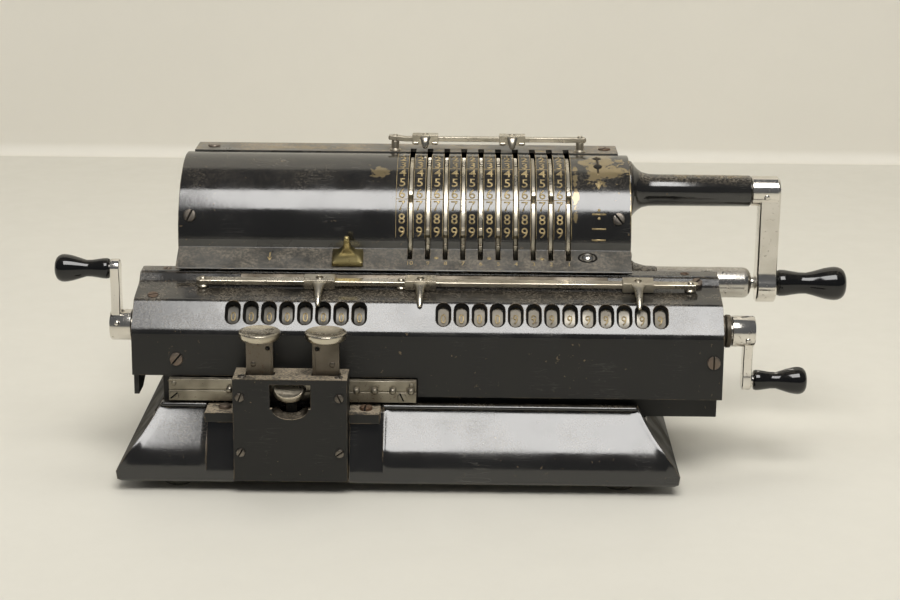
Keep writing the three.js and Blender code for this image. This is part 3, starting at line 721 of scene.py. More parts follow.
def enamel(name, colour, roughness, dust=0.4, wear=0.6, chips=0.5, scratches=0.4, patches=(),
           bump=0.12, patch_scale=45.0, fog=0.25, ior=1.72):
    """Black stoved enamel: dust on top, primer and rust at the edges, chips and scratches."""
    care = bpy.context.scene.adding_machine_finish
    material, tree, shader = finish_tree(name)
    skin = shader_node(tree, "ShaderNodeGroup", node_tree=grain_group())
    skin.inputs["Scale"].default_value = 650.0
    clouds = skin.outputs["Clouds"]
    cloudy = blended(tree, maths(tree, "MULTIPLY", clouds, fog), rgba(colour),
                     rgba([c * 1.7 + 0.002 for c in colour]))
    scratched = placed_group(tree, scratch_group(), amount=scratches * care.wear)
    chipped = placed_group(tree, chip_group(), amount=chips * care.wear)
    edges = placed_group(tree, edge_group(), amount=wear * care.wear)
    dusty = placed_group(tree, dust_group(), amount=dust * care.dust, patch_scale=patch_scale)
    shade = blended(tree, maths(tree, "MULTIPLY", scratched, 0.5), cloudy, (0.16, 0.15, 0.13, 1))
    shade = blended(tree, maths(tree, "MULTIPLY", chipped, 0.55), shade, rgba(care.primer))
    shade = blended(tree, edges, shade, rgba(care.primer))
    metal = None
    for centre, size, breakup, strength in patches:
        patch = placed_group(tree, patch_group(), centre=centre, size=size, breakup=breakup)
        patch = maths(tree, "MULTIPLY", patch, strength)
        shade = blended(tree, patch, shade, rgba([c * 0.6 for c in care.gold]))
        metal = patch if metal is None else maths(tree, "MAXIMUM", metal, patch)
    shade = blended(tree, dusty, shade, rgba(care.dust_colour))
    rough = ramp(tree, clouds, 0.0, 1.0, roughness * 0.8, roughness * 1.35)
    for mask in (dusty, edges):
        rough = maths(tree, "ADD", rough, maths(tree, "MULTIPLY", mask, 0.45), True)
    feed(tree, shader, Base_Color=shade, Roughness=rough)
    if metal is not None:
        feed(tree, shader, Metallic=maths(tree, "MULTIPLY", metal, 0.55))
    shader.inputs["IOR"].default_value = ior
    with_bump(tree, shader, skin.outputs["Height"], bump, 0.0004)
    return material


def plated(name, colour, roughness, tarnish, tarnish_share=0.5, dust=0.2, wear=0.3, grain=900.0,
           metallic=1.0, bump=0.12):
    """Nickel, chrome or bare metal with cloudy tarnish, specks and dulled edges."""
    care = bpy.context.scene.adding_machine_finish
    material, tree, shader = finish_tree(name)
    skin = shader_node(tree, "ShaderNodeGroup", node_tree=grain_group())
    skin.inputs["Scale"].default_value = grain
    clouds = skin.outputs["Clouds"]
    specks = placed_group(tree, chip_group(), amount=0.8, scale=650.0, threshold=0.66)
    scratched = placed_group(tree, scratch_group(), amount=0.7, scale=55.0)
    edges = placed_group(tree, edge_group(), amount=wear, radius=0.0004)
    dusty = placed_group(tree, dust_group(), amount=dust * care.dust, patch_scale=90.0)
    shade = blended(tree, maths(tree, "MULTIPLY", clouds, tarnish_share), rgba(colour),
                    rgba(tarnish))
    shade = blended(tree, maths(tree, "MULTIPLY", specks, 0.5), shade, rgba(care.rust))
    shade = blended(tree, edges, shade, rgba([min(c * 1.25, 0.9) for c in colour]))
    shade = blended(tree, dusty, shade, rgba(care.dust_colour))
    rough = ramp(tree, clouds, 0.0, 1.0, roughness * 0.75, roughness * 1.4)
    for mask, share in ((dusty, 0.5), (specks, 0.2), (scratched, 0.15)):
        rough = maths(tree, "ADD", rough, maths(tree, "MULTIPLY", mask, share), True)
    level = maths(tree, "MULTIPLY", maths(tree, "SUBTRACT", 1.0, dusty), metallic)
    feed(tree, shader, Base_Color=shade, Roughness=rough, Metallic=level)
    with_bump(tree, shader, skin.outputs["Height"], bump, 0.0003)
    return material


def gold_paint(name):
    """Worn gold paint of the figures and marks."""
    care = bpy.context.scene.adding_machine_finish
    material, tree, shader = finish_tree(name)
    place = own_place(tree)
    fine = noise_value(tree, place, 900.0, 4.0, 0.7)
    broad = noise_value(tree, place, 150.0, 3.0)
    shade = blended(tree, ramp(tree, broad, 0.35, 0.7), rgba(care.gold),
                    rgba([c * 0.62 for c in care.gold]))
    lost = ramp(tree, fine, 0.52, 0.66)
    shade = blended(tree, maths(tree, "MULTIPLY", lost, 0.75), shade, (0.05, 0.043, 0.03, 1))
    feed(tree, shader, Base_Color=shade, Roughness=ramp(tree, fine, 0.3, 0.7, 0.32, 0.6),
         Metallic=ramp(tree, lost, 0.0, 1.0, 0.45, 0.0))
    with_bump(tree, shader, fine, 0.15, 0.0001)
    return material


def polished_black(name):
    """Turned handles in polished black, barely worn."""
    care = bpy.context.scene.adding_machine_finish
    material, tree, shader = finish_tree(name)
    skin = shader_node(tree, "ShaderNodeGroup", node_tree=grain_group())
    scratched = placed_group(tree, scratch_group(), amount=0.5, scale=70.0)
    dusty = placed_group(tree, dust_group(), amount=0.1 * care.dust, patch_scale=120.0)
    shade = blended(tree, dusty, rgba(care.handle), rgba(care.dust_colour))
    rough = maths(tree, "ADD", ramp(tree, skin.outputs["Clouds"], 0.0, 1.0, 0.05, 0.1),
                  maths(tree, "MULTIPLY", scratched, 0.12))
    feed(tree, shader, Base_Color=shade, Roughness=rough)
    shader.inputs["IOR"].default_value = 1.55
    with_bump(tree, shader, skin.outputs["Height"], 0.04, 0.0003)
    return material


def studio_paper(name, colour, clear_behind=False):
    """The pale floor and wall with painted shade that darkens them towards the front; a wall seen
    from behind is clear.
    """
    material, tree, shader = finish_tree(name)
    place = own_place(tree)
    broad = noise_value(tree, place, 2.2, 4.0, 0.6)
    fine = noise_value(tree, place, 60.0, 3.0, 0.6)
    shade = blended(tree, ramp(tree, broad, 0.3, 0.7), rgba(colour),
                    rgba([c * 0.965 for c in colour]))
    shade = blended(tree, ramp(tree, fine, 0.45, 0.8, 0.0, 0.12), shade,
                    rgba([c * 0.93 for c in colour]))
    # painted shade: the paper darkens towards the front, as light falls off near the camera
    depth = shader_node(tree, "ShaderNodeSeparateXYZ", {"Vector": place}).outputs["Y"]
    painted_front_shade = ramp(tree, depth, -0.5, 0.05, 1.0, 0.0)
    shade = blended(tree, painted_front_shade, shade, rgba([c * 0.82 for c in colour]))
    feed(tree, shader, Base_Color=shade, Roughness=ramp(tree, fine, 0.3, 0.7, 0.55, 0.75))
    if clear_behind:
        out = tree.nodes["Material Output"]
        clear = tree.nodes.new("ShaderNodeBsdfTransparent").outputs[0]
        behind = shader_node(tree, "ShaderNodeNewGeometry").outputs["Backfacing"]
        both = shader_node(tree, "ShaderNodeMixShader", {0: behind, 1: shader.outputs[0], 2: clear})
        tree.links.new(both.outputs[0], out.inputs["Surface"])
    return material


def place_m(x, y, z):
    """A place in the machine's millimetres as metres in the frame."""
    return tuple((Vector((x, y, z)) + ZERO) * MM)


def half_m(x, y, z):
    return x * MM, y * MM, z * MM


# An enamel's settings; its colour is a setting's name and how many times lighter it is.
ENAMELS = {
    "cover_enamel": dict(
        colour=("enamel", 1), roughness=0.13, dust=0.16, wear=0.95, chips=0.8, scratches=0.55,
        patches=((place_m(86, -9, 121), half_m(11, 19, 8), 140.0, 0.75),
                 (place_m(73.6, -20, 112), half_m(1.4, 26, 17), 190.0, 0.7),
                 (place_m(-11, -15, 119), half_m(5, 7, 4), 330.0, 0.5),
                 (place_m(97.3, -20, 108), half_m(0.5, 30, 26), 180.0, 0.9))),
    "carriage_enamel": dict(colour=("enamel", 1), roughness=0.17, dust=0.36, wear=0.8, chips=0.6,
                            scratches=0.8, patch_scale=70.0),
    "face_enamel": dict(colour=("satin", 1), roughness=0.42, dust=0.2, wear=0.5, chips=0.85,
                        scratches=0.3, ior=1.45),
    "apron_enamel": dict(colour=("satin", 3.2), roughness=0.34, dust=0.6, wear=0.95, chips=1.0,
                         scratches=0.5, patch_scale=90.0, fog=0.8, ior=1.6),
    "rear_enamel": dict(colour=("satin", 3.5), roughness=0.3, dust=1.6, wear=0.6, chips=0.4,
                        patches=((place_m(-45, 14, 124), half_m(30, 4, 2), 170.0, 0.55),)),
    "base_enamel": dict(colour=("enamel", 1), roughness=0.15, dust=0.35, wear=0.85, chips=0.6,
                        scratches=0.6),
    "worn_black": dict(colour=("satin", 1), roughness=0.62, dust=0.5, wear=0.9, chips=1.0,
                       scratches=0.3, ior=1.3),
    "dusty_black": dict(colour=("satin", 1), roughness=0.5, dust=3.2, wear=0.9, chips=0.8,
                        scratches=0.3, patch_scale=120.0, ior=1.4),
    "satin_enamel": dict(colour=("satin", 1), roughness=0.42, dust=3.2, chips=0.8, scratches=0.3,
                         ior=1.4),
    "tube_enamel": dict(colour=("enamel", 1), roughness=0.14, dust=0.6, wear=0.5, chips=0.6,
                        scratches=0.5,
                        patches=((place_m(134, 0, 116), half_m(22, 3, 2), 220.0, 0.4),)),
    # dark paint on the cover's arrow shaft and dots, and painted shade in recesses: screw slots,
    # window rims, the button's recess and the key stem inside the box
    "dark_inside": dict(colour=("satin", 0.5), roughness=0.6, dust=0.05, wear=0.2, chips=0.2,
                        scratches=0.0, ior=1.3),
}
# A metal's settings; a colour is its numbers, or a setting's name and how many times lighter.
METALS = {
    "nickel": dict(colour=("nickel", 1), roughness=0.28, tarnish=(0.3, 0.26, 0.19),
                   tarnish_share=0.45, dust=0.25),
    "key_nickel": dict(colour=("nickel", 1), roughness=0.24, tarnish=(0.34, 0.29, 0.2),
                       dust=0.55),
    "dusty_nickel": dict(colour=(0.34, 0.31, 0.25), roughness=0.4, tarnish=(0.16, 0.14, 0.1),
                         tarnish_share=0.8, dust=0.7, bump=0.3),
    "old_steel": dict(colour=(0.15, 0.13, 0.105), roughness=0.42, tarnish=(0.07, 0.06, 0.045),
                      tarnish_share=0.7, dust=0.8, bump=0.3),
    "screw_steel": dict(colour=(0.2, 0.18, 0.155), roughness=0.36, tarnish=(0.09, 0.075, 0.06),
                        tarnish_share=0.6, dust=0.3, bump=0.2),
    "rusty_steel": dict(colour=(0.2, 0.17, 0.14), roughness=0.42, tarnish=("rust", 1),
                        tarnish_share=0.9, dust=0.35, wear=0.5, grain=1200.0, metallic=0.7,
                        bump=0.3),
    "chrome": dict(colour=("chrome", 1), roughness=0.13, tarnish=(0.5, 0.46, 0.38),
                   tarnish_share=0.35, dust=0.1, grain=1300.0, bump=0.05),
    "dull_chrome": dict(colour=(0.6, 0.58, 0.54), roughness=0.24, tarnish=(0.22, 0.19, 0.15),
                        dust=0.75),
    "steel": dict(colour=("steel", 1), roughness=0.34, tarnish=(0.2, 0.18, 0.15), dust=0.3),
    "brass": dict(colour=("brass", 1), roughness=0.4, tarnish=(0.2, 0.17, 0.08),
                  tarnish_share=0.7, dust=0.15, bump=0.25),
    "counter_metal": dict(colour=("wheel", 0.28), roughness=0.5, tarnish=(0.05, 0.045, 0.035),
                          tarnish_share=0.6, dust=0.05, metallic=0.3),
    "wheel_metal": dict(colour=("wheel", 0.95), roughness=0.5, tarnish=(0.2, 0.17, 0.13),
                        dust=0.1, metallic=0.35),
}
OTHER_FINISHES = {"gold_paint": gold_paint, "handle_black": polished_black}
# a screw's second finish paints its slot floor dark as painted shade
SCREW_BROWN, SCREW_GREY = ["rusty_steel", "dark_inside"], ["screw_steel", "dark_inside"]
SCREW_EDGE = 0.12
FINISHES = {}


def mixed_colour(source):
    """A colour from its numbers, or from a setting's name and how many times lighter it is."""
    if isinstance(source[0], str):
        care = bpy.context.scene.adding_machine_finish
        return [part * source[1] for part in getattr(care, source[0])]
    return source


def finish_named(name):
    """The material of that name, made when it is first asked for."""
    if name not in FINISHES:
        if name in OTHER_FINISHES:
            FINISHES[name] = OTHER_FINISHES[name](name)
        else:
            maker, table = (enamel, ENAMELS) if name in ENAMELS else (plated, METALS)
            settings = {key: mixed_colour(value) if key in ("colour", "tarnish") else value
                        for key, value in table[name].items()}
            FINISHES[name] = maker(name, **settings)
    return FINISHES[name]


# ---- base ----
BASE_BACK = 42.0
BASE_TOP = 33.0
PAD_LINE = ((-89.2, 4.6), (-90.0, 5.6), (-90.0, 9.0), (-89.9, 11.4), (-89.5, 14.0),
            (-88.8, 16.4), (-87.6, 18.6), (-85.8, 20.9), (-83.4, 23.5), (-80.9, 26.1),
            (-78.4, 28.7), (-76.2, 31.0), (-74.8, 32.5), (-73.6, 33.0))
END_HALVES = ((33.0, 99.3), (29.0, 101.5), (24.0, 104.9), (18.6, 109.4), (14.0, 112.9),
              (10.5, 115.3), (8.2, 116.4), (6.4, 116.2), (5.2, 115.2), (4.6, 113.9))
POCKET_GAP = 0.3
LUGS_X = ((-79.2, BOX_LEFT - POCKET_GAP), (BOX_RIGHT + POCKET_GAP, -7.6))
LUG_TOP = 33.7


def base_half(z):
    """Half the base's length at a height."""
    for (z0, h0), (z1, h1) in zip(END_HALVES, END_HALVES[1:]):
        if z >= z1:
            return h0 + (h1 - h0) * (z0 - z) / (z0 - z1)
    return END_HALVES[-1][1]


def base_form():
    """The cast base: two convex pads with raised borders, a flat middle, a box pocket."""
    depth = [0, 0, 0, 0.12, 0.35] + [0.75] * (len(PAD_LINE) - 5)
    sunk = [(y + d * 0.8, z - d * 0.6) for (y, z), d in zip(PAD_LINE, depth)]
    sunk = [sunk[k] if 3 <= k <= 11 else point for k, point in enumerate(PAD_LINE)]
    flat = [(-89.2, 4.6), (-90.0, 5.6)]
    flat += [(-90.0 + 8.8 * t, 9.4 + 23.4 * t) for t in spread(0, 1, 10)]
    flat += [(-80.9, BASE_TOP), (-80.4, BASE_TOP)]
    ends = ((0.0, PAD_LINE), (1.6, PAD_LINE), (4.4, sunk))
    sections = [(-1, inset, line) for inset, line in ends]
    sections += [(0, x, line) for x, line in (
        (-81.6, sunk), (-79.4, PAD_LINE), (-78.9, PAD_LINE), (-78.8, flat), (-6.2, flat),
        (-6.1, PAD_LINE), (-5.4, PAD_LINE), (-3.2, sunk))]
    sections += [(1, inset, line) for inset, line in reversed(ends)]
    rows = []
    for end, place, line in sections:
        row = []
        for (_, level), (y, z) in zip(PAD_LINE, line):
            row.append((end * (base_half(level) - place) if end else place, y, z))
        back = [(x, BASE_BACK, level) for (x, _, _), (_, level) in zip(row, PAD_LINE)]
        back[-1] = (back[-1][0], BASE_BACK - 0.5, back[-1][2])
        rows.append(row + back[::-1])
    body = Form()
    rings = [[body.point(*p) for p in row] for row in rows]
    for one, two in zip(rings, rings[1:]):
        bridge(body, one, two, True)
    count = len(PAD_LINE)
    for ring in (rings[0], rings[-1]):
        for k in range(count - 1):
            body.face((ring[k], ring[k + 1], ring[2 * count - 2 - k], ring[2 * count - 1 - k]))
    body = combined(body, [block(-130, 130, -68.8, -61.2, 25.5, 40),
                           block(BOX_LEFT - POCKET_GAP, BOX_RIGHT + POCKET_GAP, -95,
                                 BOX_BACK + POCKET_GAP, 0, 40)])
    lugs = [block(x0, x1, -86.6, -73.0, 29.6, LUG_TOP) for x0, x1 in LUGS_X]
    beads = [lathe([(x0, 0), (x0 + 0.3, 0.8), (x0 + 1.2, 1.15), (x1 - 1.2, 1.15), (x1 - 0.3, 0.8),
                    (x1, 0)], 16, (-75.2, 33.2)) for x0, x1 in ((-99.0, -79.4), (-7.2, 99.0))]
    for k, face in enumerate(body.faces):
        middle = face_middle(body, face)
        if abs(middle.x) > base_half(middle.z) - 0.6 and middle.z > 5:
            body.finishes[k] = 1
    made = joined(body, *beads)
    made.add(*lugs, finish=2)
    return made


def base_screws():
    up = (0, 0, 1)
    return joined(
        screws((2.7, 1.5), *[((x, -80.0, LUG_TOP - 0.1), up, spin)
                             for x, spin in ((-71.6, 20), (-13.4, 80))]),
        screws((2.2, 0.6), *[((x, y, BASE_TOP - 0.1), up, 35 + x) for x in (-90, 90)
                             for y in (-10, 34)]))


def foot_plate_form():
    feet = [upright_lathe([(0, 0), (0, 5.9), (0.5, 6.4), (2.6, 7.0), (3.5, 7.0), (3.5, 0)],
                          (x, y, 0), 40) for x in (-92, 92) for y in (-76, 30)]
    return joined(block(-103, 103, -84, 36, 3.3, 4.3), *feet)


def foot_plate_screws():
    return screws((2.4, 0.8), *[((x, y, 3.4), (0, 0, -1), 40 + x) for x in (-60, 0, 60)
                                for y in (-60, 24)])


# ---- control box and keys ----
BOX_MIDDLE = (BOX_LEFT + BOX_RIGHT) / 2
BOX_SHEET = 2.0
PIN_WAY_FRONT = -79.0
WINDOW_LEFT, WINDOW_RIGHT, WINDOW_TOP = -51.9, -35.3, 47.7
SCOOP_Z = 37.4
SCOOP_FLAT = 0.61


def scoop_curve(radius, level, trim, count):
    """(x, z) points along the low half of the scoop's flattened circle."""
    return [(BOX_MIDDLE + radius * math.cos(a), level + SCOOP_FLAT * radius * math.sin(a))
            for a in spread(math.pi + trim, math.tau - trim, count)]


def control_box_form():
    """An open shell with a window, slots for the keys and a way through for the rack."""
    shell = block(BOX_LEFT, BOX_RIGHT, BOX_FRONT, BOX_BACK, 6, BOX_TOP)
    window = [(WINDOW_LEFT, WINDOW_TOP), (WINDOW_LEFT, SCOOP_Z), (WINDOW_LEFT + 0.9, SCOOP_Z)]
    window += scoop_curve(7.4, SCOOP_Z, 0, 19)
    window += [(WINDOW_RIGHT - 0.9, SCOOP_Z), (WINDOW_RIGHT, SCOOP_Z), (WINDOW_RIGHT, WINDOW_TOP)]
    tools = [block(BOX_LEFT + BOX_SHEET, BOX_RIGHT - BOX_SHEET, BOX_FRONT + BOX_SHEET,
                   BOX_BACK + 1, 8, 48.6),
             block(BOX_LEFT - 1, BOX_RIGHT + 1, PIN_WAY_FRONT, BOX_BACK + 1, 37.4, 43.6),
             drawn_deep(window, BOX_FRONT - 1, BOX_FRONT + BOX_SHEET + 1)]
    tools += [block(x - 6, x + 6, KEY_Y - 2, KEY_Y + 2, 47, 52) for x in KEY_X]
    return combined(shell, tools)


def thumb_scoop_form():
    """The dished half oval at the foot of the window."""
    form, rings = Form(), []
    for radius, y, trim in ((7.35, -91.4, 0.06), (7.2, -90.4, 0.06), (6.2, -88.9, 0.06),
                            (5.2, -88.0, 0.38), (5.2, -87.2, 0.38), (7.35, -87.2, 0.38)):
        rings.append([form.point(x, y, z)
                      for x, z in scoop_curve(radius, SCOOP_Z + 0.1, trim, 21)])
    for one, two in zip(rings, rings[1:] + rings[:1]):
        bridge(form, one, two)
    for k in (0, -1):
        form.face([ring[k] for ring in rings])
    return form


def box_screws():
    front = [((x, BOX_FRONT, z), (0, -1, 0), spin) for x, z, spin in
             ((BOX_LEFT + 2.9, 42.3, 70), (BOX_RIGHT - 3.2, 42.3, 115),
              (BOX_LEFT + 2.9, 18.6, 60), (BOX_RIGHT - 3.2, 18.6, 35))]
    top = [((x, -88.2, BOX_TOP - 0.1), (0, 0, 1), x * 3)
           for x in (BOX_LEFT + 3.6, BOX_RIGHT - 3.6)]
    return joined(screws((1.85, 0.9, 0.6), *front), screws((1.8, 0.5, 0.6), *top))


def shift_key_form(x, mirror):
    """A flat stem with a rivet and a hole under a dished round button."""
    stem = drawn_deep(softened([(-5.5, 45.0), (5.5, 45.0), (5.5, 65.8), (-5.5, 65.8)], 0.4, 2),
                      -1.4, 1.4)
    hole = lathe([(-3, 0), (-3, 0.95), (3, 0.95), (3, 0)], 20).turned(90, "Z")
    stem = combined(stem, [hole.moved(3.4 * mirror, 0, 61.2)])
    ridge = block(-0.3, 0.3, -1.75, -1.3, 50, 64.4).moved(4.6 * mirror)
    rivet = dome((-2.6 * mirror, -1.35, 54.4), (0, -1, 0), 1.25, 0.5)
    spans = ((0, 64.5), (6.6, 64.5), (7.9, 65.0), (8.5, 65.9), (8.65, 67.0), (8.5, 67.9),
             (8.0, 68.3), (7.2, 67.9), (5.0, 67.35), (2.5, 67.1), (0, 67.0))
    key = upright_lathe([(z, r) for r, z in spans], segments=48)
    return key.add(stem, ridge, rivet, finish=1).moved(x, KEY_Y)


def release_key_form():
    """The oval dished thumb piece, tipped to the front, and its stem in the second finish, painted
    dark as shade inside the box.
    """
    spans = ((0, -2.2), (5.4, -2.2), (6.2, -1.6), (6.5, -0.4), (6.3, 1.4), (5.9, 2.2),
             (4.6, 1.7), (2.5, 1.35), (0, 1.2))
    button = upright_lathe([(z, r) for r, z in spans], segments=40)
    key = button.shaped(Matrix.Scale(0.72, 4, (0, 1, 0))).turned(42).moved(-44.2, -88.8, 44)
    return key.add(block(-45.8, -41.4, -86.2, -84.8, 28, 44.2), finish=1)


# ---- drum cover ----
COVER_SHEET = 1.45
APRON_BACK = (-34.3, 89.25)


def cover_lines():
    """The cover's outer and inner (y, z) lines, back edge first."""
    outer = [up_front(a, COVER_R) for a in spread(102, -0.5, 46)]
    outer += softened([outer[-1], (-33.0, 90.05), APRON_BACK], 1.0, 4, closed=False)[1:]
    start, end = Vector(APRON_BACK), Vector(APRON_FRONT)
    share = (SLOT_FRONT_Y - start.x) / (end.x - start.x)
    outer += [tuple(start.lerp(end, t)) for t in (share * 0.5, share, 0.62, 0.8, 0.94)]
    outer += [(-43.9, 83.6), (-44.1, 83.25)]
    return outer, beside(outer, COVER_SHEET)


def drum_cover_form():
    """The slotted cover; its apron, in front of the kink, has the second finish."""
    outer, inner = cover_lines()
    edges = sorted(slot_x(i) + side for i in range(COLUMNS) for side in (-SLOT_HALF, SLOT_HALF))
    stations = [COVER_LEFT, -90, -60, -30, -8] + edges + [80.0, 90.0, COVER_RIGHT]
    slots = {stations.index(slot_x(i) - SLOT_HALF) for i in range(COLUMNS)}
    front = max(j for j, (y, _) in enumerate(outer) if y >= SLOT_FRONT_Y - 0.01)
    cover = thick_sheet(stations, outer, inner, lambda i, j: i in slots and j < front)
    for k, face in enumerate(cover.faces):
        if all(cover.points[c].y < KINK[0] + 0.2 for c in face):
            cover.finishes[k] = 1
    return cover


def cover_screws():
    made = []
    for x, angle, spin in ((-91.2, 21.5, 65), (92.0, 22.0, 130)):
        y, z = up_front(angle, COVER_R - 0.25)
        made.append(((x, y, z), (0, y, z - DRUM_Z), spin))
    return screws((2.75, 1.15), *made)


def cover_button():
    """The domed catch button in its oval recess on the apron; the recess is painted dark as shade.
    """
    place = on_flat(78.8, KINK, APRON_FRONT, 4.4)
    ring = []
    for r, lift in ((3.7, -0.1), (3.55, 0.35), (3.0, 0.3), (2.7, -0.2)):
        ring.append([place(r * 1.15 * math.cos(a), r * 0.8 * math.sin(a), lift)
                     for a in around(28)])
    centre, out = Vector(place(0, 0, 0.0)), Vector(place(0, 0, 1.0))
    return dome(centre, out - centre, 2.5, 1.5).add(skinned(ring), finish=1)


MARKS_X = 83.6


def cover_marks():
    """Gold figures beside each slot, lines, column numbers, dots and plain signs."""
    marks = []

    def on_cover(mark, x, angle, finish=0):
        place = on_round(x, angle, COVER_R, (DRUM_Y, DRUM_Z))
        marks.append(painted(mark, place, finish=finish))

    def on_apron(mark, x, along):
        marks.append(painted(mark, on_flat(x, KINK, APRON_FRONT, along)))

    lanes = [slot_x(i) - PITCH / 2 for i in range(COLUMNS)]
    for x in lanes:
        for digit in range(1, 10):
            on_cover(glyph(str(digit), 4.5), x, DIGIT_9_ANGLE + (9 - digit) * DIGIT_STEP)
        for angle in (65.2, 35.9):
            on_cover(bar_mark(5.1, 0.3), x, angle)
    long_line = strip_mark([(0, v) for v in spread(-26, 25.8, 30)], 0.2)
    for x in lanes + [slot_x(-1) - PITCH / 2]:
        for side in (-2.5, 2.5):
            if lanes[-1] - 2.6 < x + side < FIRST_SLOT_X + SLOT_HALF + 1:
                on_cover(long_line, x + side, 51.5)
    for i in range(COLUMNS):
        on_apron(glyph(str(i + 1), 2.2), slot_x(i) + 0.2, 8.5)
    for i in THIRD_SLOTS:
        on_apron(round_mark(0.95, 0.8), lanes[i] + PITCH, 5.4)
    on_apron(arrow_mark(5.2, 2.2, 0.7), -56.5, 5.6)
    on_cover(arrow_mark(9.0, 3.2, 0.8), MARKS_X, 53)
    on_cover(strip_mark([(0, v) for v in spread(-8.0, 8.0, 12)], 0.9), MARKS_X, 76, finish=1)
    for angle in (70, 84):
        on_cover(round_mark(1.9), MARKS_X, angle, finish=1)
    divide = 25.5
    on_cover(bar_mark(6.0, 0.75), MARKS_X, divide)
    for v in (-1.8, 1.8):
        on_cover(round_mark(0.65), MARKS_X, divide + math.degrees(v / COVER_R))
    for angle in (14.5, 6.2):
        on_cover(bar_mark(6.0, 0.7), MARKS_X, angle)
    return joined(*marks)


# ---- rear cover and top rail ----
REAR_HALF, REAR_FRONT, REAR_BACK, REAR_LOW, NOTCH_Y = 93.6, 7.3, 37.0, 33.4, 13.9
REAR_CORNER = 11.0
NOTCH_HALF = 1.3


def rear_cover_form():
    """A hood over the back of the drum, round at its back edges, notched behind each slot."""
    line = [(REAR_FRONT, REAR_TOP_Z), (NOTCH_Y, REAR_TOP_Z), (19.0, REAR_TOP_Z)]
    line += [(23 + 14 * math.sin(a), 110 + 14 * math.cos(a)) for a in spread(0, math.pi / 2, 13)]
    line += [(REAR_BACK, 60.0), (REAR_BACK, REAR_LOW)]

    def half(y):
        over = max(0.0, y - (REAR_BACK - REAR_CORNER))
        return REAR_HALF - REAR_CORNER + math.sqrt(max(REAR_CORNER ** 2 - over ** 2, 0.0))

    edges = sorted(slot_x(i) + side for i in range(COLUMNS) for side in (-NOTCH_HALF, NOTCH_HALF))
    tails = [REAR_HALF - REAR_CORNER * (1 - math.sin(a)) for a in spread(0, math.pi / 2, 10)]
    stations = [-t for t in reversed(tails)] + edges + tails
    notches = {stations.index(slot_x(i) - NOTCH_HALF) for i in range(COLUMNS)}
    form = Form()
    rings = []
    for x in stations:
        rings.append([form.point(max(-half(y), min(half(y), x)), y, z) for y, z in line])
    for i, (one, two) in enumerate(zip(rings, rings[1:])):
        for j in range(len(line) - 1):
            if not (i in notches and j == 0):
                form.face((one[j], two[j], two[j + 1], one[j + 1]))
    for side in (-1, 1):
        upper = [form.point(side * half(y), y, z) for y, z in line]
        lower = [form.point(side * half(y), y, REAR_LOW) for y, _ in line]
        bridge(form, upper, lower)
    return form


def rear_screws():
    top = [((x, 15.5, REAR_TOP_Z), (0, 0, 1), spin) for x, spin in ((-86.0, 15), (88.0, 60))]
    back = [((x, REAR_BACK, z), (0, 1, 0), x + z) for x in (-70, 0, 70) for z in (44, 96)]
    return joined(screws((2.7, 0.7), *top), screws((2.4, 0.9), *back))


def rear_marks():
    """Small gold wedges behind the slots that part the columns in threes."""
    wedge = flat_mark([(-1.9, -1.1), (1.9, -1.1), (0.0, 1.1)], [(0, 1, 2)])
    mark = painted(wedge, lambda u, v, lift: (u, 11.2 + v, REAR_TOP_Z + lift))
    return joined(*[mark.moved(slot_x(i) + PITCH / 2) for i in THIRD_SLOTS])


TOP_RAIL = (10.2, 129.3)


def top_rail_form():
    y, z = TOP_RAIL
    rows = []
    for x, lift in ((-8.0, 0.5), (-7.4, 0.5), (-5.0, 0.35), (0.0, -0.15), (6.0, 0.0), (40.0, 0.0),
                    (79.0, 0.0), (79.6, 0.0)):
        inset = 0.5 if x in (-8.0, 79.6) else 0.0
        rows.append([(x, y + a, z + lift + b) for a, b in
                     ((-1.6 + inset, -1 + inset), (1.6 - inset, -1 + inset),
                      (1.6 - inset, 1 - inset), (-1.6 + inset, 1 - inset))])
    posts = [upright_lathe([(REAR_TOP_Z, 0), (REAR_TOP_Z, 2.6), (124.5, 2.6), (125.0, 1.75),
                            (128.3, 1.75), (128.3, 1.3), (130.4, 1.3), (131.0, 1.15), (131.3, 0)],
                           (x, y, 0), 24) for x in (-4.9, 76.8)]
    return joined(skinned(rows), *posts)


def finger_form(path):
    """A tapered round finger; path holds (y, z, half width, half thickness)."""
    rows = []
    for k, (y, z, wide, thick) in enumerate(path):
        before, after = path[max(k - 1, 0)], path[min(k + 1, len(path) - 1)]
        along = Vector((after[0] - before[0], after[1] - before[1])).normalized()
        side = Vector((-along.y, along.x))
        rows.append([(wide * math.cos(a), y + side.x * thick * math.sin(a),
                      z + side.y * thick * math.sin(a))
                     for a in around(20)])
    return skinned(rows)


def rail_pointer_form(width, depth, height, path, clipped):
    """A saddle over a rail, with a finger and a round pin hole on top, and wire clips."""
    d, h, wall = depth / 2 + 0.3, height / 2 + 0.3, 0.8
    saddle = combined(block(-width / 2, width / 2, -d - wall, d + wall, -h - wall, h + wall),
                      [block(-width, width, -d, d, -h, h),
                       block(-width, width, -d + 0.6, d - 0.6, -h - 3, 0),
                       upright_lathe([(h - 0.2, 0), (h - 0.2, 1.5), (h + 2, 1.5), (h + 2, 0)],
                                     (0, 0, 0), 24)])
    ball = dome((0, 0, h + 0.1), (0, 0, 1), 1.2, 0.7)
    clips = [lathe([(x, 0), (x + 0.2, 0.8), (x + 2.3, 0.8), (x + 2.5, 0)], 16,
                   (-d - 0.3, -h - 0.3)) for x in (-width / 2 + 0.3, width / 2 - 2.8) if clipped]
    return joined(saddle, ball, finger_form(path), *clips)


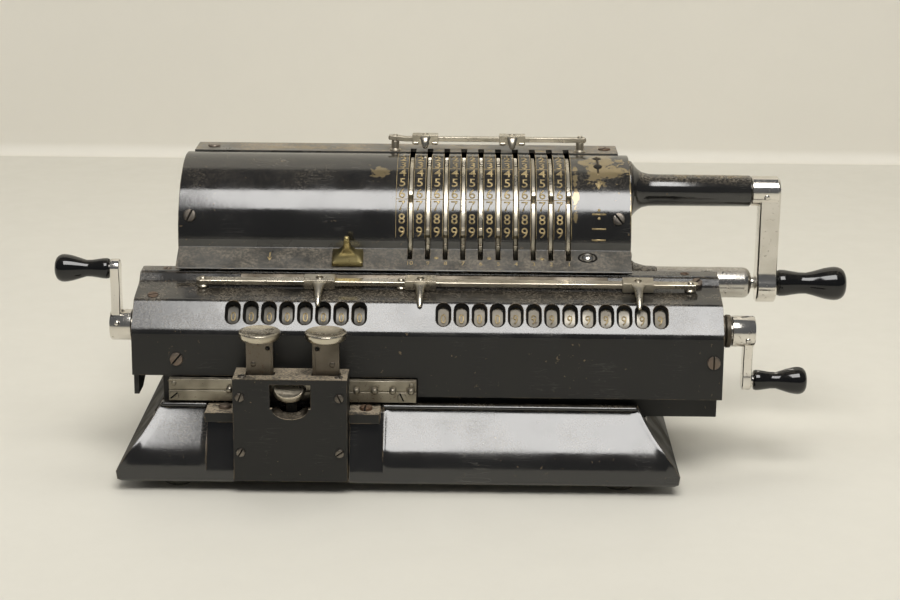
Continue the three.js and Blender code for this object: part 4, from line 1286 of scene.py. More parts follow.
CARRIAGE_FINGER = ((-2.4, 1.3, 3.2, 0.7), (-3.4, 1.0, 3.1, 1.2), (-4.4, 0.7, 2.5, 1.5),
                   (-5.6, 0.4, 1.95, 1.5), (-8.0, -0.4, 1.65, 1.4), (-10.6, -1.4, 1.45, 1.25),
                   (-13.0, -2.7, 1.25, 1.1), (-14.2, -3.5, 0.9, 0.8), (-14.6, -3.8, 0.3, 0.3))
TOP_FINGER = ((-2.2, 1.4, 2.4, 0.7), (-3.0, 0.8, 2.3, 1.0), (-3.7, -0.2, 1.9, 1.1),
              (-4.3, -1.6, 1.6, 1.05), (-4.7, -3.0, 1.1, 0.8), (-4.8, -3.6, 0.4, 0.3))


def brass_marker_form():
    """The sliding brass finger piece, drawn about its own foot."""
    rows = []
    for z, half, deep in ((0, 6.6, 4.4), (1.9, 6.5, 4.3), (2.3, 6.3, 4.0), (3.3, 5.6, 2.7),
                          (4.3, 4.2, 2.0), (5.6, 2.7, 1.6), (7.4, 1.7, 1.45), (10.0, 1.35, 1.35),
                          (12.0, 1.25, 1.2), (12.9, 0.9, 0.8), (13.1, 0.3, 0.3)):
        corner = min(half, deep) * (0.18 if z < 2 else 0.55)
        outline = softened([(-half, -deep), (half, -deep), (half, deep), (-half, deep)], corner, 4)
        rows.append([(x, y, z) for x, y in outline])
    return skinned(rows)


# ---- drum, levers ----
def lever_form(digit):
    """A lever ring with its finger tip, detent notches at the back and a gap under the tip."""
    inner, ring = 25.0, 31.3

    def arc(start, stop, count, radius=ring):
        return [up_front(a, radius, (0, 0)) for a in spread(start, stop, count)]

    outline = arc(3.2, 62, 30)
    for first in [62 + 3.9 * k for k in range(10)]:
        for a, radius in ((0.2, ring), (0.9, ring - 0.9), (1.9, ring - 0.9), (2.6, ring)):
            outline.append(up_front(first + a, radius, (0, 0)))
    outline += arc(102, 196, 36) + arc(196, -62, 80, inner) + arc(-62, -11, 22)
    for a, radius in ((-10, ring - 1.6), (-5, ring - 1.6), (-3.4, ring), (-2.7, 33.5),
                      (-1.9, 34.15), (0, 34.3), (1.9, 34.15), (2.7, 33.5)):
        outline.append(up_front(a, radius, (0, 0)))
    lever = drawn(outline, -0.75, 0.75)
    return lever.turned(-(DIGIT_9_ANGLE + (9 - digit) * DIGIT_STEP))


# ---- crank ----
def bearing_profile(end, base, mid, thin, hole):
    """(x, radius) of a flared tube from the side plate to end, thinning as it goes."""
    start = TUBE_START
    return [(start, hole), (start, base), (start + 0.7, base + 0.2), (start + 1.7, base),
            (start + 2.6, base * 0.9), (start + 3.6, mid * 1.12), (start + 4.8, mid),
            (start + 6.6, thin * 1.12), (start + 9.5, thin * 1.02), (start + 13, thin),
            (end - 0.7, thin * 0.98), (end - 0.15, thin * 0.93), (end, thin * 0.86), (end, hole)]


def bearing_tube_form():
    profile = bearing_profile(151.7, 12.6, 9.0, 6.95, CRANK_BORE)
    return lathe(profile + profile[:1], 64, (CRANK_Y, CRANK_Z))


def rest_tube_forms():
    """A black flared foot, and the bright tube with its stud."""
    foot = bearing_profile(112.0, 9.6, 8.4, 7.0, 0.0)
    tube = [(111.8, 0), (111.8, 6.75), (112.4, 6.8), (150.3, 6.8), (151.7, 6.5), (152.8, 5.6),
            (153.5, 4.2), (153.8, 2.6), (154.8, 2.6), (154.9, 2.4), (154.9, 0)]
    return lathe(foot, 56, (GRIP_Y, GRIP_Z)), lathe(tube, 56, (GRIP_Y, GRIP_Z))


def crank_arm_forms():
    """The hub, and the tapered arm with its boss, bored for the spindle."""
    hub = lathe([(152, CRANK_BORE), (152, 6.3), (152.4, 6.65), (163.2, 6.65), (163.6, 6.3),
                 (163.6, CRANK_BORE), (152, CRANK_BORE)], 48, (CRANK_Y, CRANK_Z))
    cap = lathe([(163.2, 0), (163.2, 4.6), (163.65, 4.5), (163.8, 0)], 40, (CRANK_Y, CRANK_Z))
    length = CRANK_Z - GRIP_Z
    side = [(5.6, 0.0), (5.0, 6 - length), (7.4, 2 - length), (7.9, -length)]
    boss = [(7.9 * math.cos(a), -length + 8.6 * math.sin(a)) for a in spread(0, -math.pi, 25)][1:-1]
    other = [(-y, z) for y, z in reversed(side)]
    crown = [(5.6 * math.cos(a), 5.6 * math.sin(a)) for a in spread(math.pi, 0, 17)][1:-1]
    outline = [(y + CRANK_Y, z + CRANK_Z) for y, z in side + boss + other + crown]
    tools = [bore(150, 170, 2.8, (GRIP_Y, GRIP_Z)),
             bore(151, 159.3, CRANK_BORE, (CRANK_Y, CRANK_Z))]
    arm = combined(drawn(outline, ARM_START, ARM_END), tools)
    pin = dome((158.3, CRANK_Y - 6.3, CRANK_Z - 1.6), (0, -1, -0.2), 1.3, 0.75)
    collar = lathe([(164.5, 2.9), (164.5, 4.9), (164.8, 5.1), (165.1, 4.8), (165.1, 2.9),
                    (164.5, 2.9)], 40, (GRIP_Y, GRIP_Z))
    return joined(hub, cap, pin, collar), arm


def handle_form(start, length, base, bulb, hole, centre, direction=1):
    """A turned handle: a collar, a waist and a round bulb, hollow for its spindle."""
    shares = ((0, 0.80), (0.012, 0.93), (0.05, 1.0), (0.12, 0.985), (0.22, 0.9), (0.32, 0.82),
              (0.42, 0.80))
    profile = [(0.78, 0.0), (0.78, hole), (0.0, hole)] + [(t, base * r) for t, r in shares]
    for t, r in ((0.52, 0.72), (0.6, 0.82), (0.68, 0.915), (0.76, 0.975), (0.82, 1.0),
                 (0.87, 0.985), (0.92, 0.91), (0.955, 0.79), (0.98, 0.6), (0.994, 0.35), (1.0, 0)):
        profile.append((t, bulb * r))
    return lathe([(start + direction * length * t, r) for t, r in profile], 64, centre)


def clearing_crank_form(face, direction, collar, hub, reach):
    """A collar and hub on the carriage's end, and an arm that reaches up or down by reach."""
    centre = (WHEEL_Y, WHEEL_Z)
    h0 = collar + 0.5
    h1 = h0 + hub - 0.3
    profile = [(-5, 0), (-5, 3.6), (0, 3.6), (0, 6.9), (collar * 0.3, 7.0), (collar * 0.42, 6.4),
               (collar * 0.55, 7.0), (collar - 0.2, 6.9), (collar, 6.6), (collar, 4.4), (h0, 4.4),
               (h0, 6.2), (h0 + 0.35, 6.5), (h1 - 0.5, 6.5), (h1, 6.1), (h1, 0)]
    turned_part = lathe([(face + direction * x, r) for x, r in profile], 56, centre)
    for k, corners in enumerate(turned_part.faces):
        if all(abs(turned_part.points[c].x - face) < collar + 0.1 for c in corners):
            turned_part.finishes[k] = 1
    rows = []
    for share, half in ((0.0, 4.2), (0.25, 3.9), (0.55, 3.4), (0.8, 3.3), (0.88, 3.7)):
        rows.append((half, reach * share))
    sign = math.copysign(1, reach)
    tip = [(4.1 * math.cos(a), reach + sign * 4.1 * math.sin(a))
           for a in spread(0.15, math.pi - 0.15, 19)]
    outline = rows + tip + [(-y, z) for y, z in reversed(rows)]
    arm_start, arm_end = sorted((face + direction * (h1 - 4.4), face + direction * (h1 - 0.6)))
    arm = drawn([(y + centre[0], z + centre[1]) for y, z in outline], arm_start, arm_end)
    boss_at = (centre[0], centre[1] + reach)
    boss = [(h1 - 0.8, 0), (h1 - 0.8, 3.0), (h1 + 0.1, 2.8), (h1 + 0.2, 1.6), (h1 + 11.5, 1.6),
            (h1 + 11.5, 0)]
    carrier = lathe([(face + direction * x, r) for x, r in boss], 32, boss_at)
    pin = dome((face + direction * (h1 - 3.2), centre[0] - 6.1, centre[1] + sign * 2.4),
               (0, -1, sign * 0.35), 1.15, 0.75)
    return joined(turned_part, carrier, pin), arm


# ---- carriage ----
BEVEL_TOP, BEVEL_END = Vector(CARRIAGE_LINE[3]), Vector(CARRIAGE_LINE[4])
BEVEL_DOWN = (BEVEL_END - BEVEL_TOP).normalized()
BEVEL_OUT = Vector((BEVEL_DOWN.y, -BEVEL_DOWN.x))
WINDOW_ALONG = 5.6
WINDOW_HALF_WIDTH, WINDOW_HALF_LENGTH = 3.25, 5.5


def on_bevel(x, along=WINDOW_ALONG):
    """A place function on the carriage's sloping front."""
    start = BEVEL_TOP + BEVEL_DOWN * along

    def place(u, v, lift):
        p = start - BEVEL_DOWN * v + BEVEL_OUT * lift
        return x + u, p.x, p.y
    return place


def stadium(half_width, half_length, count=9):
    """A slot outline with round ends."""
    straight = half_length - half_width
    top = [(half_width * math.cos(a), straight + half_width * math.sin(a))
           for a in spread(0, math.pi, count)]
    return top + [(-u, -v) for u, v in top]


CARRIAGE_SHEET = 1.6
FACE_BACK_Y, FACE_TOP_Z = -69.6, 62.4
RACK_LEFT, RACK_RIGHT, RACK_Z = -95.3, 7.2, 40.5


def carriage_cover_form():
    """The folded cover, cut away over the rack, windows in its slope, its face duller."""
    outer = softened(CARRIAGE_LINE, (0, 0.7, 1.2, 1.1, 1.9, 0), 5, closed=False)
    inner = beside(outer, CARRIAGE_SHEET)
    cover = drawn(outer + inner[::-1], CARRIAGE_LEFT, CARRIAGE_RIGHT)
    tools = [block(CARRIAGE_LEFT - 1, RACK_RIGHT + 0.4, -80, -60, 20, 44.7)]
    for x in COUNTER_X + RESULT_X:
        place = on_bevel(x)
        outline = stadium(WINDOW_HALF_WIDTH, WINDOW_HALF_LENGTH)
        tools.append(skinned([[place(u, v, lift) for u, v in outline] for lift in (-4, 3)]))
    cover = combined(cover, tools)
    for k, face in enumerate(cover.faces):
        middle = face_middle(cover, face)
        if middle.y < FACE_BACK_Y and middle.z < FACE_TOP_Z:
            cover.finishes[k] = 1
    return cover


def window_rims_form():
    """A dished rim inside each window, down to a narrow slot over the wheel."""
    form = Form()
    steps = ((3.2, 5.45, -0.5), (3.2, 5.45, -0.75), (2.85, 5.1, -1.25), (2.4, 4.65, -1.75),
             (2.2, 4.45, -2.0), (2.2, 4.45, -2.3), (3.2, 5.45, -2.3), (3.2, 5.45, -0.5))
    for x in COUNTER_X + RESULT_X:
        place = on_bevel(x)
        rows = [[place(u, v, lift) for u, v in stadium(wide, tall)] for wide, tall, lift in steps]
        form.add(skinned(rows, capped=False))
    return form


def carriage_seam_form():
    """The raised strip along the back of the carriage's top."""
    strip = softened([(-36.0, 81.4), (-36.0, 82.15), (-42.9, 81.95), (-43.2, 81.3)], 0.25, 2)
    return drawn(strip, CARRIAGE_LEFT + 0.6, CARRIAGE_RIGHT - 0.6)


def carriage_screws():
    return joined(
        screws((2.75, 0.9), ((-92.4, -71.6, 51.8), (0, -1, 0.05), 50),
               ((130.0, -71.6, 52.6), (0, -1, 0.05), 90)),
        screws((2.3, 0.5), ((-103.5, -58.0, 75.4), (0, -0.23, 0.97), 20)),
        screws((2.4, 0.9), ((124.6, -45.4, 79.6), (0, -0.5, 0.9), 40)),
        screws((1.9, 0.4), *[((x, -39.4, 81.9), (0, 0, 1), x) for x in (-100, 10, 120)]))


def lower_rail_form():
    return drawn([(-67, 27.4), (-63.2, 27.4), (-63.2, 43.5), (-67, 43.5)], -99, 132.5)


def rack_form():
    """Two nickelled bars, a seam between them and a row of domed pins."""
    bars = [block(x0, x1, y0, y1, z0, z1) for x0, x1, y0, y1, z0, z1 in (
        (RACK_LEFT, RACK_RIGHT, -76, -72.6, 35.2, 39.65),
        (RACK_LEFT, RACK_RIGHT, -75.6, -72.6, 39.95, 44.4),
        (RACK_LEFT + 0.1, RACK_RIGHT - 0.1, -75.2, -72.7, 39.3, 40.3))]
    pin = lathe([(72, 0), (72, 1.5), (77.2, 1.5), (77.9, 1.3), (78.3, 0.8), (78.4, 0)], 24)
    pins = [pin.turned(-90, "Z").moved(5 - PITCH * i, 0, RACK_Z) for i in range(11)]
    dowels = [dome((x, -75.6, 42.6), (0, -1, 0), 1.1, 0.6) for x in (-93.2, 5.2)]
    return joined(*bars, *pins, *dowels)


def rack_screws():
    front = (0, -1, 0)
    return joined(screws((2.0, 0.7, 0.7), ((-93.2, -76, 37.4), front, 40)),
                  screws((1.9, 0.6, 0.7), ((1.2, -76, 37.6), front, 115)))


CARRIAGE_RAIL = (-50.6, 79.9)


def carriage_rail_form():
    rows = []
    for x, inset in ((-86.2, 0.9), (-85.6, 0.3), (-84.6, 0), (123.0, 0), (124.0, 0.3),
                     (124.6, 0.9)):
        rows.append([(x, y, z) for y, z in softened(
            [(-1.8 + inset, -1), (1.8 - inset, -1), (1.8 - inset, 1), (-1.8 + inset, 1)], 0.25, 2)])
    posts = []
    for x in (-83.5, -0.1, 121.4):
        posts.append(upright_lathe([(-2.3, 0), (-2.3, 2.5), (-1.6, 2.4), (-1.3, 1.7), (0.8, 1.7),
                                    (1.0, 1.35), (1.5, 1.3), (1.9, 0.9), (2.05, 0)], (x, 0, 0), 24))
    rail = joined(skinned(rows), *posts)
    return rail.turned(RAIL_TILT).moved(0, *CARRIAGE_RAIL)


def carriage_pointer_form(x):
    pointer = rail_pointer_form(13.0, 3.6, 2.0, CARRIAGE_FINGER, clipped=False)
    return pointer.turned(RAIL_TILT).moved(x, *CARRIAGE_RAIL)


def register_form(places, x0, x1, digits):
    """The number wheels of one register on their shaft, and their painted figures."""
    centre = (WHEEL_Y, WHEEL_Z)
    wheels, figures = [], []
    facing = math.degrees(math.atan2(BEVEL_OUT.y, -BEVEL_OUT.x)) - 4
    for x, shown in zip(places, digits):
        wheels.append(lathe([(x - 2.7, 3.0), (x - 2.7, 11.1), (x - 2.4, WHEEL_R),
                             (x + 2.4, WHEEL_R), (x + 2.7, 11.1), (x + 2.7, 3.0)], 40, centre))
        for k in range(10):
            points, faces, rim = glyph(str((int(shown) + k) % 10), 4.3)
            narrow = ([(u * 0.82, v) for u, v in points], faces, rim)
            figures.append(painted(narrow, on_round(x, facing + 36 * k, WHEEL_R, centre), 0.07))
    shaft = lathe([(x0, 0), (x0, 3.0), (x1, 3.0), (x1, 0)], 24, centre)
    return joined(shaft, *wheels), joined(*figures)


def guide_strip_form():
    strip = block(-68, 87, -0.5, 0.5, -1.2, 1.2)
    return strip.turned(-45).moved(0, -46.05, 80.45)


def side_plate_form(x0, x1, crank_bore):
    """A frame plate: a round head on a leg, bored for the shafts."""
    head = [up_front(a, PLATE_R) for a in spread(0, 360, 97)][:-1]
    plate = combined(drawn(head, x0, x1), [block(x0, x1, -22, 36, BASE_TOP + 0.3, DRUM_Z)],
                     "UNION")
    tools = [bore(x0 - 1, x1 + 1, DRUM_BORE, (0, DRUM_Z))]
    if crank_bore:
        tools.append(bore(x0 - 1, x1 + 1, CRANK_BORE, (CRANK_Y, CRANK_Z)))
    return combined(plate, tools)


def side_screws():
    """Screws and the bright round studs on the frame plates."""
    left, right = PLATE_LEFT[0], PLATE_RIGHT[1]
    plate = [((x, y, z), (out, 0, 0), spin) for x, out in ((right, 1), (left, -1))
             for y, z, spin in ((-15, 42, 10), (29, 42, 70), (29, 80, 30))]
    flange = [((right, y, z), (1, 0, 0), y * 5)
              for y, z in ((9.8, 107.6), (-9.8, 107.6), (0, 96.0))]
    return joined(screws((2.6, 0.9), *plate), screws((1.8, 0.6), *flange),
                  dome((right, -20.5, 84.6), (1, 0, 0), 3.3, 1.9, 32),
                  dome((left, 0, DRUM_Z), (-1, 0, 0), 4.2, 1.1, 32))


# ---- settings that a user would change ----
class MachineSizes(bpy.types.PropertyGroup):
    """Roundings and the studio's sizes."""

    edge: bpy.props.FloatProperty(
        name="Edge rounding", description="Rounding of cut edges", default=0.00028, min=0.00005,
        max=0.001, unit="LENGTH", precision=5)
    fold: bpy.props.FloatProperty(
        name="Sheet rounding", description="Rounding of sheet edges", default=0.0003,
        min=0.00005, max=0.0007, unit="LENGTH", precision=5)
    wall_distance: bpy.props.FloatProperty(
        name="Wall distance", description="From the drum to the wall behind", default=0.585,
        min=0.3, max=3.0, unit="LENGTH")
    camera_lens: bpy.props.FloatProperty(
        name="Lens", description="Focal length for a 36 mm wide film", default=78.4, min=20.0,
        max=200.0, unit="CAMERA")


def colour_property(name, description, default):
    return bpy.props.FloatVectorProperty(name=name, description=description, default=default,
                                         subtype="COLOR", size=3, min=0.0, max=1.0)


def share_property(name, description, default):
    return bpy.props.FloatProperty(name=name, description=description, default=default,
                                   subtype="FACTOR", min=0.0, max=2.0)


class MachineFinish(bpy.types.PropertyGroup):
    """Colours of the finishes and how worn and dusty they are."""

    enamel: colour_property("Enamel", "Glossy black enamel", (0.009, 0.0085, 0.0078))
    satin: colour_property("Satin enamel", "Satin black enamel", (0.013, 0.0125, 0.011))
    primer: colour_property("Primer", "What shows where enamel is rubbed off", (0.3, 0.215, 0.12))
    gold: colour_property("Gold", "Gold paint and leaf", (0.56, 0.43, 0.22))
    nickel: colour_property("Nickel", "Aged nickel plate", (0.62, 0.57, 0.47))
    chrome: colour_property("Bright plate", "Cleaner plate of the cranks", (0.8, 0.77, 0.72))
    steel: colour_property("Steel", "Bare machined steel", (0.4, 0.38, 0.34))
    brass: colour_property("Brass", "Tarnished brass", (0.46, 0.38, 0.18))
    wheel: colour_property("Number wheels", "Dull grey wheels", (0.42, 0.39, 0.33))
    rust: colour_property("Rust", "Brown rust and specks", (0.13, 0.07, 0.04))
    handle: colour_property("Handles", "Polished black handles", (0.004, 0.004, 0.004))
    dust_colour: colour_property("Dust", "Settled dust", (0.3, 0.25, 0.18))
    floor: colour_property("Floor", "Pale floor", (0.69, 0.665, 0.585))
    wall: colour_property("Wall", "Pale wall", (0.8, 0.765, 0.675))
    dust: share_property("Dust amount", "How dusty the machine is", 1.0)
    wear: share_property("Wear amount", "How worn the machine is", 1.0)


class MachineOperator:
    """What every operator here shares."""

    bl_options = {"REGISTER", "UNDO"}

    def execute(self, context):
        sizes = context.scene.adding_machine_sizes
        self.edge, self.fold = sizes.edge / MM, sizes.fold / MM
        self.build(context)
        return {"FINISHED"}


class AddBase(MachineOperator, bpy.types.Operator):
    """Add the cast base, its foot plate and their screws"""

    bl_idname = "adding_machine.add_base"
    bl_label = "Base"

    def build(self, context):
        make_piece("base", base_form(), "frame", ["base_enamel", "worn_black", "dusty_black"],
                   ["base_casting"], edge=self.edge)
        make_piece("base_lug_screws", base_screws(), "frame", SCREW_BROWN,
                   edge=SCREW_EDGE)
        make_piece("foot_plate", foot_plate_form(), "frame", ["steel"],
                   ["bottom_plate"], edge=self.edge)
        make_piece("foot_plate_screws", foot_plate_screws(), "frame", SCREW_BROWN,
                   edge=SCREW_EDGE)


class AddControlBox(MachineOperator, bpy.types.Operator):
    """Add the control box with its window, scoop, keys and screws"""

    bl_idname = "adding_machine.add_control_box"
    bl_label = "Control box and keys"

    def build(self, context):
        make_piece("key_box", control_box_form(), "frame", ["satin_enamel"],
                   ["control_box"], edge=self.edge)
        make_piece("thumb_scoop", thumb_scoop_form(), "frame", ["old_steel"],
                   sharp=40)
        make_piece("box_screws", box_screws(), "frame", SCREW_GREY, edge=0.1)
        for x, side, mirror in zip(KEY_X, ("left", "right"), (1, -1)):
            make_piece("dished_key_" + side, shift_key_form(x, mirror), "key_" + side,
                       ["key_nickel", "old_steel"], ["shift_key_" + side],
                       edge=0.15)
        # the key's stem, inside the box, is painted dark as shade
        make_piece("thumb_key", release_key_form(), "key_release",
                   ["key_nickel", "dark_inside"], ["release_key"], edge=0.15)


class AddDrumCover(MachineOperator, bpy.types.Operator):
    """Add the slotted drum cover, its gold figures, screws and catch button"""

    bl_idname = "adding_machine.add_drum_cover"
    bl_label = "Drum cover"

    def build(self, context):
        make_piece("drum_cover", drum_cover_form(), "frame", ["cover_enamel", "apron_enamel"],
                   ["setting_cover"], edge=self.fold)
        make_piece("cover_figures", cover_marks(), "frame", ["gold_paint", "dark_inside"])
        make_piece("cover_screws", cover_screws(), "frame", SCREW_GREY, edge=SCREW_EDGE)
        # the button's oval recess is painted dark as shade
        make_piece("cover_button", cover_button(), "frame", ["chrome", "dark_inside"])


class AddRearCover(MachineOperator, bpy.types.Operator):
    """Add the rear cover, the rail on top with its two pointers and the screws"""

    bl_idname = "adding_machine.add_rear_cover"
    bl_label = "Rear cover and top rail"

    def build(self, context):
        make_piece("rear_hood", rear_cover_form(), "frame", ["rear_enamel"],
                   ["rear_cover"], edge=0.9, sheet=1.5, steps=3)
        make_piece("rear_screws", rear_screws(), "frame", SCREW_BROWN, edge=SCREW_EDGE)
        make_piece("rear_marks", rear_marks(), "frame", ["gold_paint"])
        make_piece("top_rail", top_rail_form(), "frame", ["nickel"],
                   ["top_pointer_rail"], edge=0.2)
        for k, (x, body) in enumerate(((8.4, "a"), (46.8, "b"))):
            pointer = rail_pointer_form(11.4, 3.2, 2.0, TOP_FINGER, clipped=True)
            make_piece(f"top_finger_{k + 1}", pointer.moved(x, *TOP_RAIL), "top_pointer_" + body,
                       ["nickel"], [f"top_pointer_{k + 1}"], edge=0.15)


class AddSidePlates(MachineOperator, bpy.types.Operator):
    """Add the two frame plates with their screws and studs"""

    bl_idname = "adding_machine.add_side_plates"
    bl_label = "Side plates"

    def build(self, context):
        for side, plate, crank_bore in (("left", PLATE_LEFT, False), ("right", PLATE_RIGHT, True)):
            make_piece("side_plate_" + side, side_plate_form(*plate, crank_bore), "frame",
                       ["satin_enamel"], ["side_frame_" + side], edge=self.edge)
        make_piece("side_screws", side_screws(), "frame", SCREW_GREY, edge=SCREW_EDGE)


class AddDrum(MachineOperator, bpy.types.Operator):
    """Add the ten setting levers and finish the drum and gears inside"""

    bl_idname = "adding_machine.add_drum"
    bl_label = "Levers and drum"

    def build(self, context):
        for i, digit in enumerate(SET_DIGITS):
            number = f"{i + 1:02d}"
            make_piece("lever_" + number, lever_form(digit).moved(slot_x(i), 0, DRUM_Z),
                       "lever_" + number, ["nickel"], ["setting_lever_" + number],
                       edge=0.18)
            refinish("pinwheel_disc_" + number, "dusty_nickel", 0.15)
        for name in ("drum_shaft", "drum_gear", "crank_shaft", "crank_gear", "idler_gears"):
            refinish(name, "steel", 0.15)


class AddCrank(MachineOperator, bpy.types.Operator):
    """Add the main crank, its bearing and rest tubes and its handle"""

    bl_idname = "adding_machine.add_crank"
    bl_label = "Main crank"

    def build(self, context):
        make_piece("bearing_tube", bearing_tube_form(), "frame", ["tube_enamel"],
                   ["crank_bearing_tube"], sharp=50)
        foot, tube = rest_tube_forms()
        make_piece("rest_tube", tube, "frame", ["dull_chrome"], ["crank_rest_tube"],
                   sharp=50)
        make_piece("rest_tube_foot", foot, "frame", ["tube_enamel"], sharp=50)
        hub, arm = crank_arm_forms()
        make_piece("crank_hub", hub, "crank", ["chrome"], sharp=40)
        make_piece("crank_bar", arm, "crank", ["chrome"], ["crank_arm"], chamfer=1.5,
                   edge=0.2)
        make_piece("crank_grip", handle_form(GRIP_START, 31.2, 5.9, 7.5, 4.1, (GRIP_Y, GRIP_Z)),
                   "crank_grip", ["handle_black"], ["crank_knob"], sharp=70)
        refinish("crank_handle_spindle", "steel", 0.15)


class AddCarriage(MachineOperator, bpy.types.Operator):
    """Add the carriage: its cover, end plates, rack, rails, pointers and screws"""

    bl_idname = "adding_machine.add_carriage"
    bl_label = "Carriage"

    def build(self, context):
        make_piece("carriage_hood", carriage_cover_form(), "carriage",
                   ["carriage_enamel", "face_enamel"], ["carriage_cover"],
                   edge=self.fold)
        # black window rims, darkened further as painted shade inside the windows
        make_piece("window_rims", window_rims_form(), "carriage", ["dark_inside"],
                   sharp=50)
        make_piece("carriage_seam", carriage_seam_form(), "carriage", ["carriage_enamel"],
                   edge=0.15)
        make_piece("carriage_screws", carriage_screws(), "carriage", SCREW_BROWN,
                   edge=SCREW_EDGE)
        for side in ("left", "right"):
            refinish("carriage_end_plate_" + side, "satin_enamel", 0.25)
        make_piece("lower_rail", lower_rail_form(), "carriage", ["satin_enamel"],
                   ["carriage_lower_rail"], edge=0.4)
        make_piece("pin_rack", rack_form(), "carriage", ["dusty_nickel"],
                   ["shift_rack"], edge=0.25)
        # the rack screws' slot floors are painted dark as shade
        make_piece("rack_screws", rack_screws(), "carriage", ["dusty_nickel", "dark_inside"],
                   edge=SCREW_EDGE)
        make_piece("guide_strip", guide_strip_form(), "carriage", ["old_steel"],
                   ["carriage_guide_strip"], edge=0.15)
        make_piece("carriage_rail", carriage_rail_form(), "carriage", ["nickel"],
                   ["carriage_pointer_rail"], edge=0.15)
        for k, (x, body) in enumerate(((-34.3, "a"), (8.1, "b"), (99.3, "c"))):
            make_piece(f"carriage_finger_{k + 1}", carriage_pointer_form(x),
                       "carriage_pointer_" + body, ["nickel"],
                       [f"carriage_pointer_{k + 1}"], edge=0.15)


class AddRegisters(MachineOperator, bpy.types.Operator):
    """Add the number wheels, their figures and the two clearing cranks"""

    bl_idname = "adding_machine.add_registers"
    bl_label = "Number wheels and clearing cranks"

    def build(self, context):
        for name, body, places, x0, x1, digits, metal in (
                ("counter", "turns_counter", COUNTER_X, -105.4, -10.0, "0" * 8, "counter_metal"),
                ("result", "result_register", RESULT_X, 12.0, 128.4, RESULT_DIGITS, "wheel_metal")):
            wheels, figures = register_form(places, x0, x1, digits)
            make_piece(name + "_number_wheels", wheels, body, [metal],
                       [name + "_wheels"], sharp=35)
            make_piece(name + "_figures", figures, body, ["gold_paint"])
        for side, face, way, collar, hub, reach, grip, length in (
                ("left", CARRIAGE_LEFT - 0.3, -1, 1.0, 9.4, 24.4, -121.7, 23.0),
                ("right", CARRIAGE_RIGHT + 0.3, 1, 4.0, 10.0, -21.5, 148.9, 22.8)):
            turned_part, arm = clearing_crank_form(face, way, collar, hub, reach)
            make_piece("clearing_hub_" + side, turned_part, "clear_" + side,
                       ["chrome", "old_steel"], sharp=40)
            make_piece("clearing_arm_" + side, arm, "clear_" + side, ["chrome"],
                       ["clearing_crank_" + side], edge=0.5)
            handle = handle_form(grip, length, 4.35, 5.85, 1.9, (WHEEL_Y, WHEEL_Z + reach), way)
            make_piece("clearing_grip_" + side, handle, f"clear_{side}_grip", ["handle_black"],
                       ["clearing_knob_" + side], sharp=70)


class AddMarker(MachineOperator, bpy.types.Operator):
    """Add the sliding brass marker"""

    bl_idname = "adding_machine.add_marker"
    bl_label = "Brass marker"

    def build(self, context):
        tilt = math.degrees(math.atan2(KINK[1] - APRON_FRONT[1], KINK[0] - APRON_FRONT[0]))
        make_piece("marker_finger", brass_marker_form().turned(tilt).moved(-23.2, -39.4, 86.9),
                   "marker", ["brass"], ["brass_marker"], sharp=45)


def refinish(node, finish, edge):
    """A better finish and softer edges on a frame part that stays."""
    obj = frame["nodes"][node]
    obj.data.materials.clear()
    obj.data.materials.append(finish_named(finish))
    soften_edges(obj, edge, 2)
    even_normals(obj)


PAPER_HALF = 2600.0
WALL_TOP = 1500.0
WALL_BEND = 9.0
WORLD_COLOUR, WORLD_STRENGTH = (0.92, 0.95, 1.0, 1.0), 0.13
# name, place and aim in millimetres, size in metres, power in watts, colour
LIGHTS = (
    ("front_softbox", (110, -760, 1270), (0, -20, 60), (0.84, 0.76), 17.5, (1.0, 0.985, 0.96)),
    ("top_fill", (0, 330, 1500), (0, 200, 0), (1.6, 0.5), 5.0, (1.0, 0.98, 0.95)),
    ("left_fill", (-1500, -500, 900), (0, 0, 60), (0.9, 0.9), 3.5, (0.97, 0.98, 1.0)),
    ("right_fill", (1500, -300, 900), (0, 0, 60), (0.9, 0.9), 3.0, (1.0, 0.99, 0.97)))
FILM_WIDTH = 36.0
CAMERA_PLACE = (29.4, -844.0, 300.0)
CAMERA_PITCH, CAMERA_YAW, CAMERA_ROLL = math.radians(16.0), math.radians(0.64), math.radians(0.45)


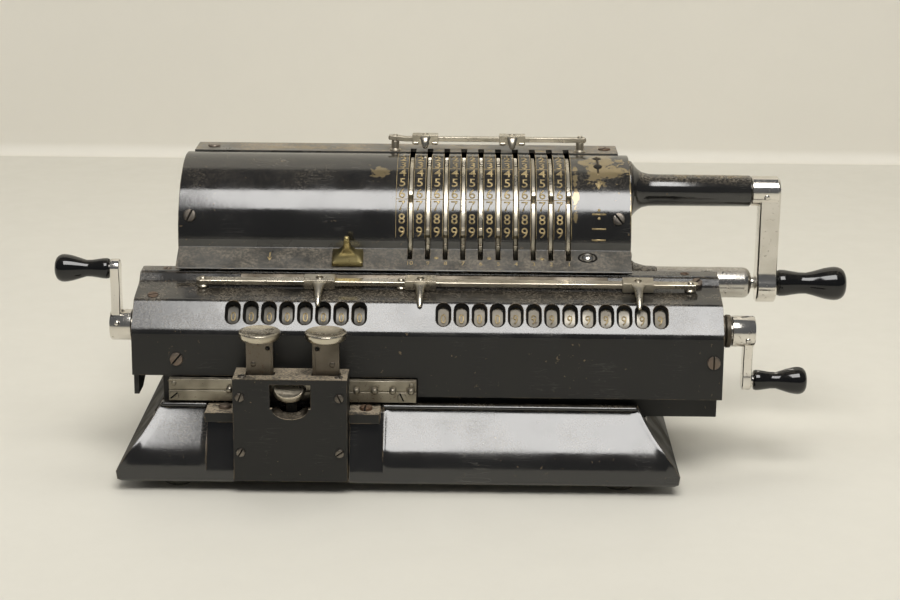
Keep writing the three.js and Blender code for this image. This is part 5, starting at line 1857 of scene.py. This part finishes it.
class AddStudio(MachineOperator, bpy.types.Operator):
    """Add the pale floor and wall, the soft lights and the camera"""

    bl_idname = "adding_machine.add_studio"
    bl_label = "Studio"

    def build(self, context):
        sizes = context.scene.adding_machine_sizes
        finish = context.scene.adding_machine_finish
        self.add_paper(sizes, finish)
        self.add_lights(context)
        self.add_camera(context, sizes)
        world = bpy.data.worlds.new("Dim room")
        world.use_nodes = True
        background = world.node_tree.nodes["Background"].inputs
        background["Color"].default_value = WORLD_COLOUR
        background["Strength"].default_value = WORLD_STRENGTH
        context.scene.world = world
        context.scene.view_settings.view_transform = "Standard"

    def add_paper(self, sizes, finish):
        wall_y = sizes.wall_distance / MM
        floor = Form()
        floor.face([floor.point(x, y, 0) for x, y in (
            (-PAPER_HALF, -PAPER_HALF), (PAPER_HALF, -PAPER_HALF), (PAPER_HALF, wall_y),
            (-PAPER_HALF, wall_y))])
        line = [(wall_y - WALL_BEND + WALL_BEND * math.sin(a), WALL_BEND - WALL_BEND * math.cos(a))
                for a in spread(0, math.pi / 2, 9)] + [(wall_y, WALL_TOP)]
        wall = skinned([[(x, y, z) for y, z in line] for x in (-PAPER_HALF, PAPER_HALF)],
                       closed_rows=False, capped=False)
        for name, form, paper in (("floor", floor, studio_paper("floor_paper", finish.floor)),
                                  ("wall", wall, studio_paper("wall_paper", finish.wall, True))):
            obj = bpy.data.objects.new(name, mesh_from(form, name))
            bpy.context.scene.collection.objects.link(obj)
            obj.data.materials.append(paper)
            if name == "wall" and obj.data.polygons[-1].normal.y > 0:
                obj.data.flip_normals()
            if name == "floor" and obj.data.polygons[0].normal.z < 0:
                obj.data.flip_normals()

    def add_lights(self, context):
        for name, place, aim, size, power, colour in LIGHTS:
            light = bpy.data.lights.new(name, "AREA")
            light.shape, light.size, light.size_y = "RECTANGLE", *size
            light.energy, light.color = power, colour
            obj = bpy.data.objects.new(name, light)
            obj.location = place_m(*place)
            look = Vector(place_m(*aim)) - obj.location
            obj.rotation_euler = look.to_track_quat("-Z", "Y").to_euler()
            obj.visible_glossy = name == "front_softbox"
            context.scene.collection.objects.link(obj)

    def add_camera(self, context, sizes):
        data = bpy.data.cameras.new("camera")
        data.lens, data.sensor_width = sizes.camera_lens, FILM_WIDTH
        data.clip_start, data.clip_end = 0.02, 20.0
        camera = bpy.data.objects.new("camera", data)
        level_cos = math.cos(CAMERA_PITCH)
        ahead = Vector((-math.sin(CAMERA_YAW) * level_cos, math.cos(CAMERA_YAW) * level_cos,
                        -math.sin(CAMERA_PITCH)))
        right = Vector((math.cos(CAMERA_YAW), math.sin(CAMERA_YAW), 0.0))
        up = right.cross(ahead)
        level = Matrix((right, up, -ahead)).transposed()
        turn = level @ Matrix.Rotation(CAMERA_ROLL, 3, "Z")
        camera.matrix_world = Matrix.Translation(place_m(*CAMERA_PLACE)) @ turn.to_4x4()
        context.scene.collection.objects.link(camera)
        context.scene.camera = camera


PIECE_OPERATORS = (AddBase, AddControlBox, AddDrumCover, AddRearCover, AddSidePlates, AddDrum,
                   AddCrank, AddCarriage, AddRegisters, AddMarker)


class AddingMachinePanel(bpy.types.Panel):
    """Lists the pieces, the studio and the settings"""

    bl_idname = "VIEW3D_PT_adding_machine"
    bl_label = "Adding machine"
    bl_space_type = "VIEW_3D"
    bl_region_type = "UI"
    bl_category = "Adding Machine"

    def draw(self, context):
        layout = self.layout
        for operator in PIECE_OPERATORS + (AddStudio,):
            layout.operator(operator.bl_idname)
        for settings in (context.scene.adding_machine_sizes, context.scene.adding_machine_finish):
            box = layout.box()
            for name in settings.__annotations__:
                box.prop(settings, name)


CLASSES = (MachineSizes, MachineFinish) + PIECE_OPERATORS + (AddStudio, AddingMachinePanel)


def register():
    for cls in CLASSES:
        bpy.utils.register_class(cls)
    bpy.types.Scene.adding_machine_sizes = bpy.props.PointerProperty(type=MachineSizes)
    bpy.types.Scene.adding_machine_finish = bpy.props.PointerProperty(type=MachineFinish)


def unregister():
    del bpy.types.Scene.adding_machine_finish
    del bpy.types.Scene.adding_machine_sizes
    for cls in reversed(CLASSES):
        bpy.utils.unregister_class(cls)


def main():
    register()
    bpy.ops.adding_machine.add_studio()
    bpy.ops.adding_machine.add_base()
    bpy.ops.adding_machine.add_control_box()
    bpy.ops.adding_machine.add_drum_cover()
    bpy.ops.adding_machine.add_rear_cover()
    bpy.ops.adding_machine.add_side_plates()
    bpy.ops.adding_machine.add_drum()
    bpy.ops.adding_machine.add_crank()
    bpy.ops.adding_machine.add_carriage()
    bpy.ops.adding_machine.add_registers()
    bpy.ops.adding_machine.add_marker()


if __name__ == "__main__":
    main()
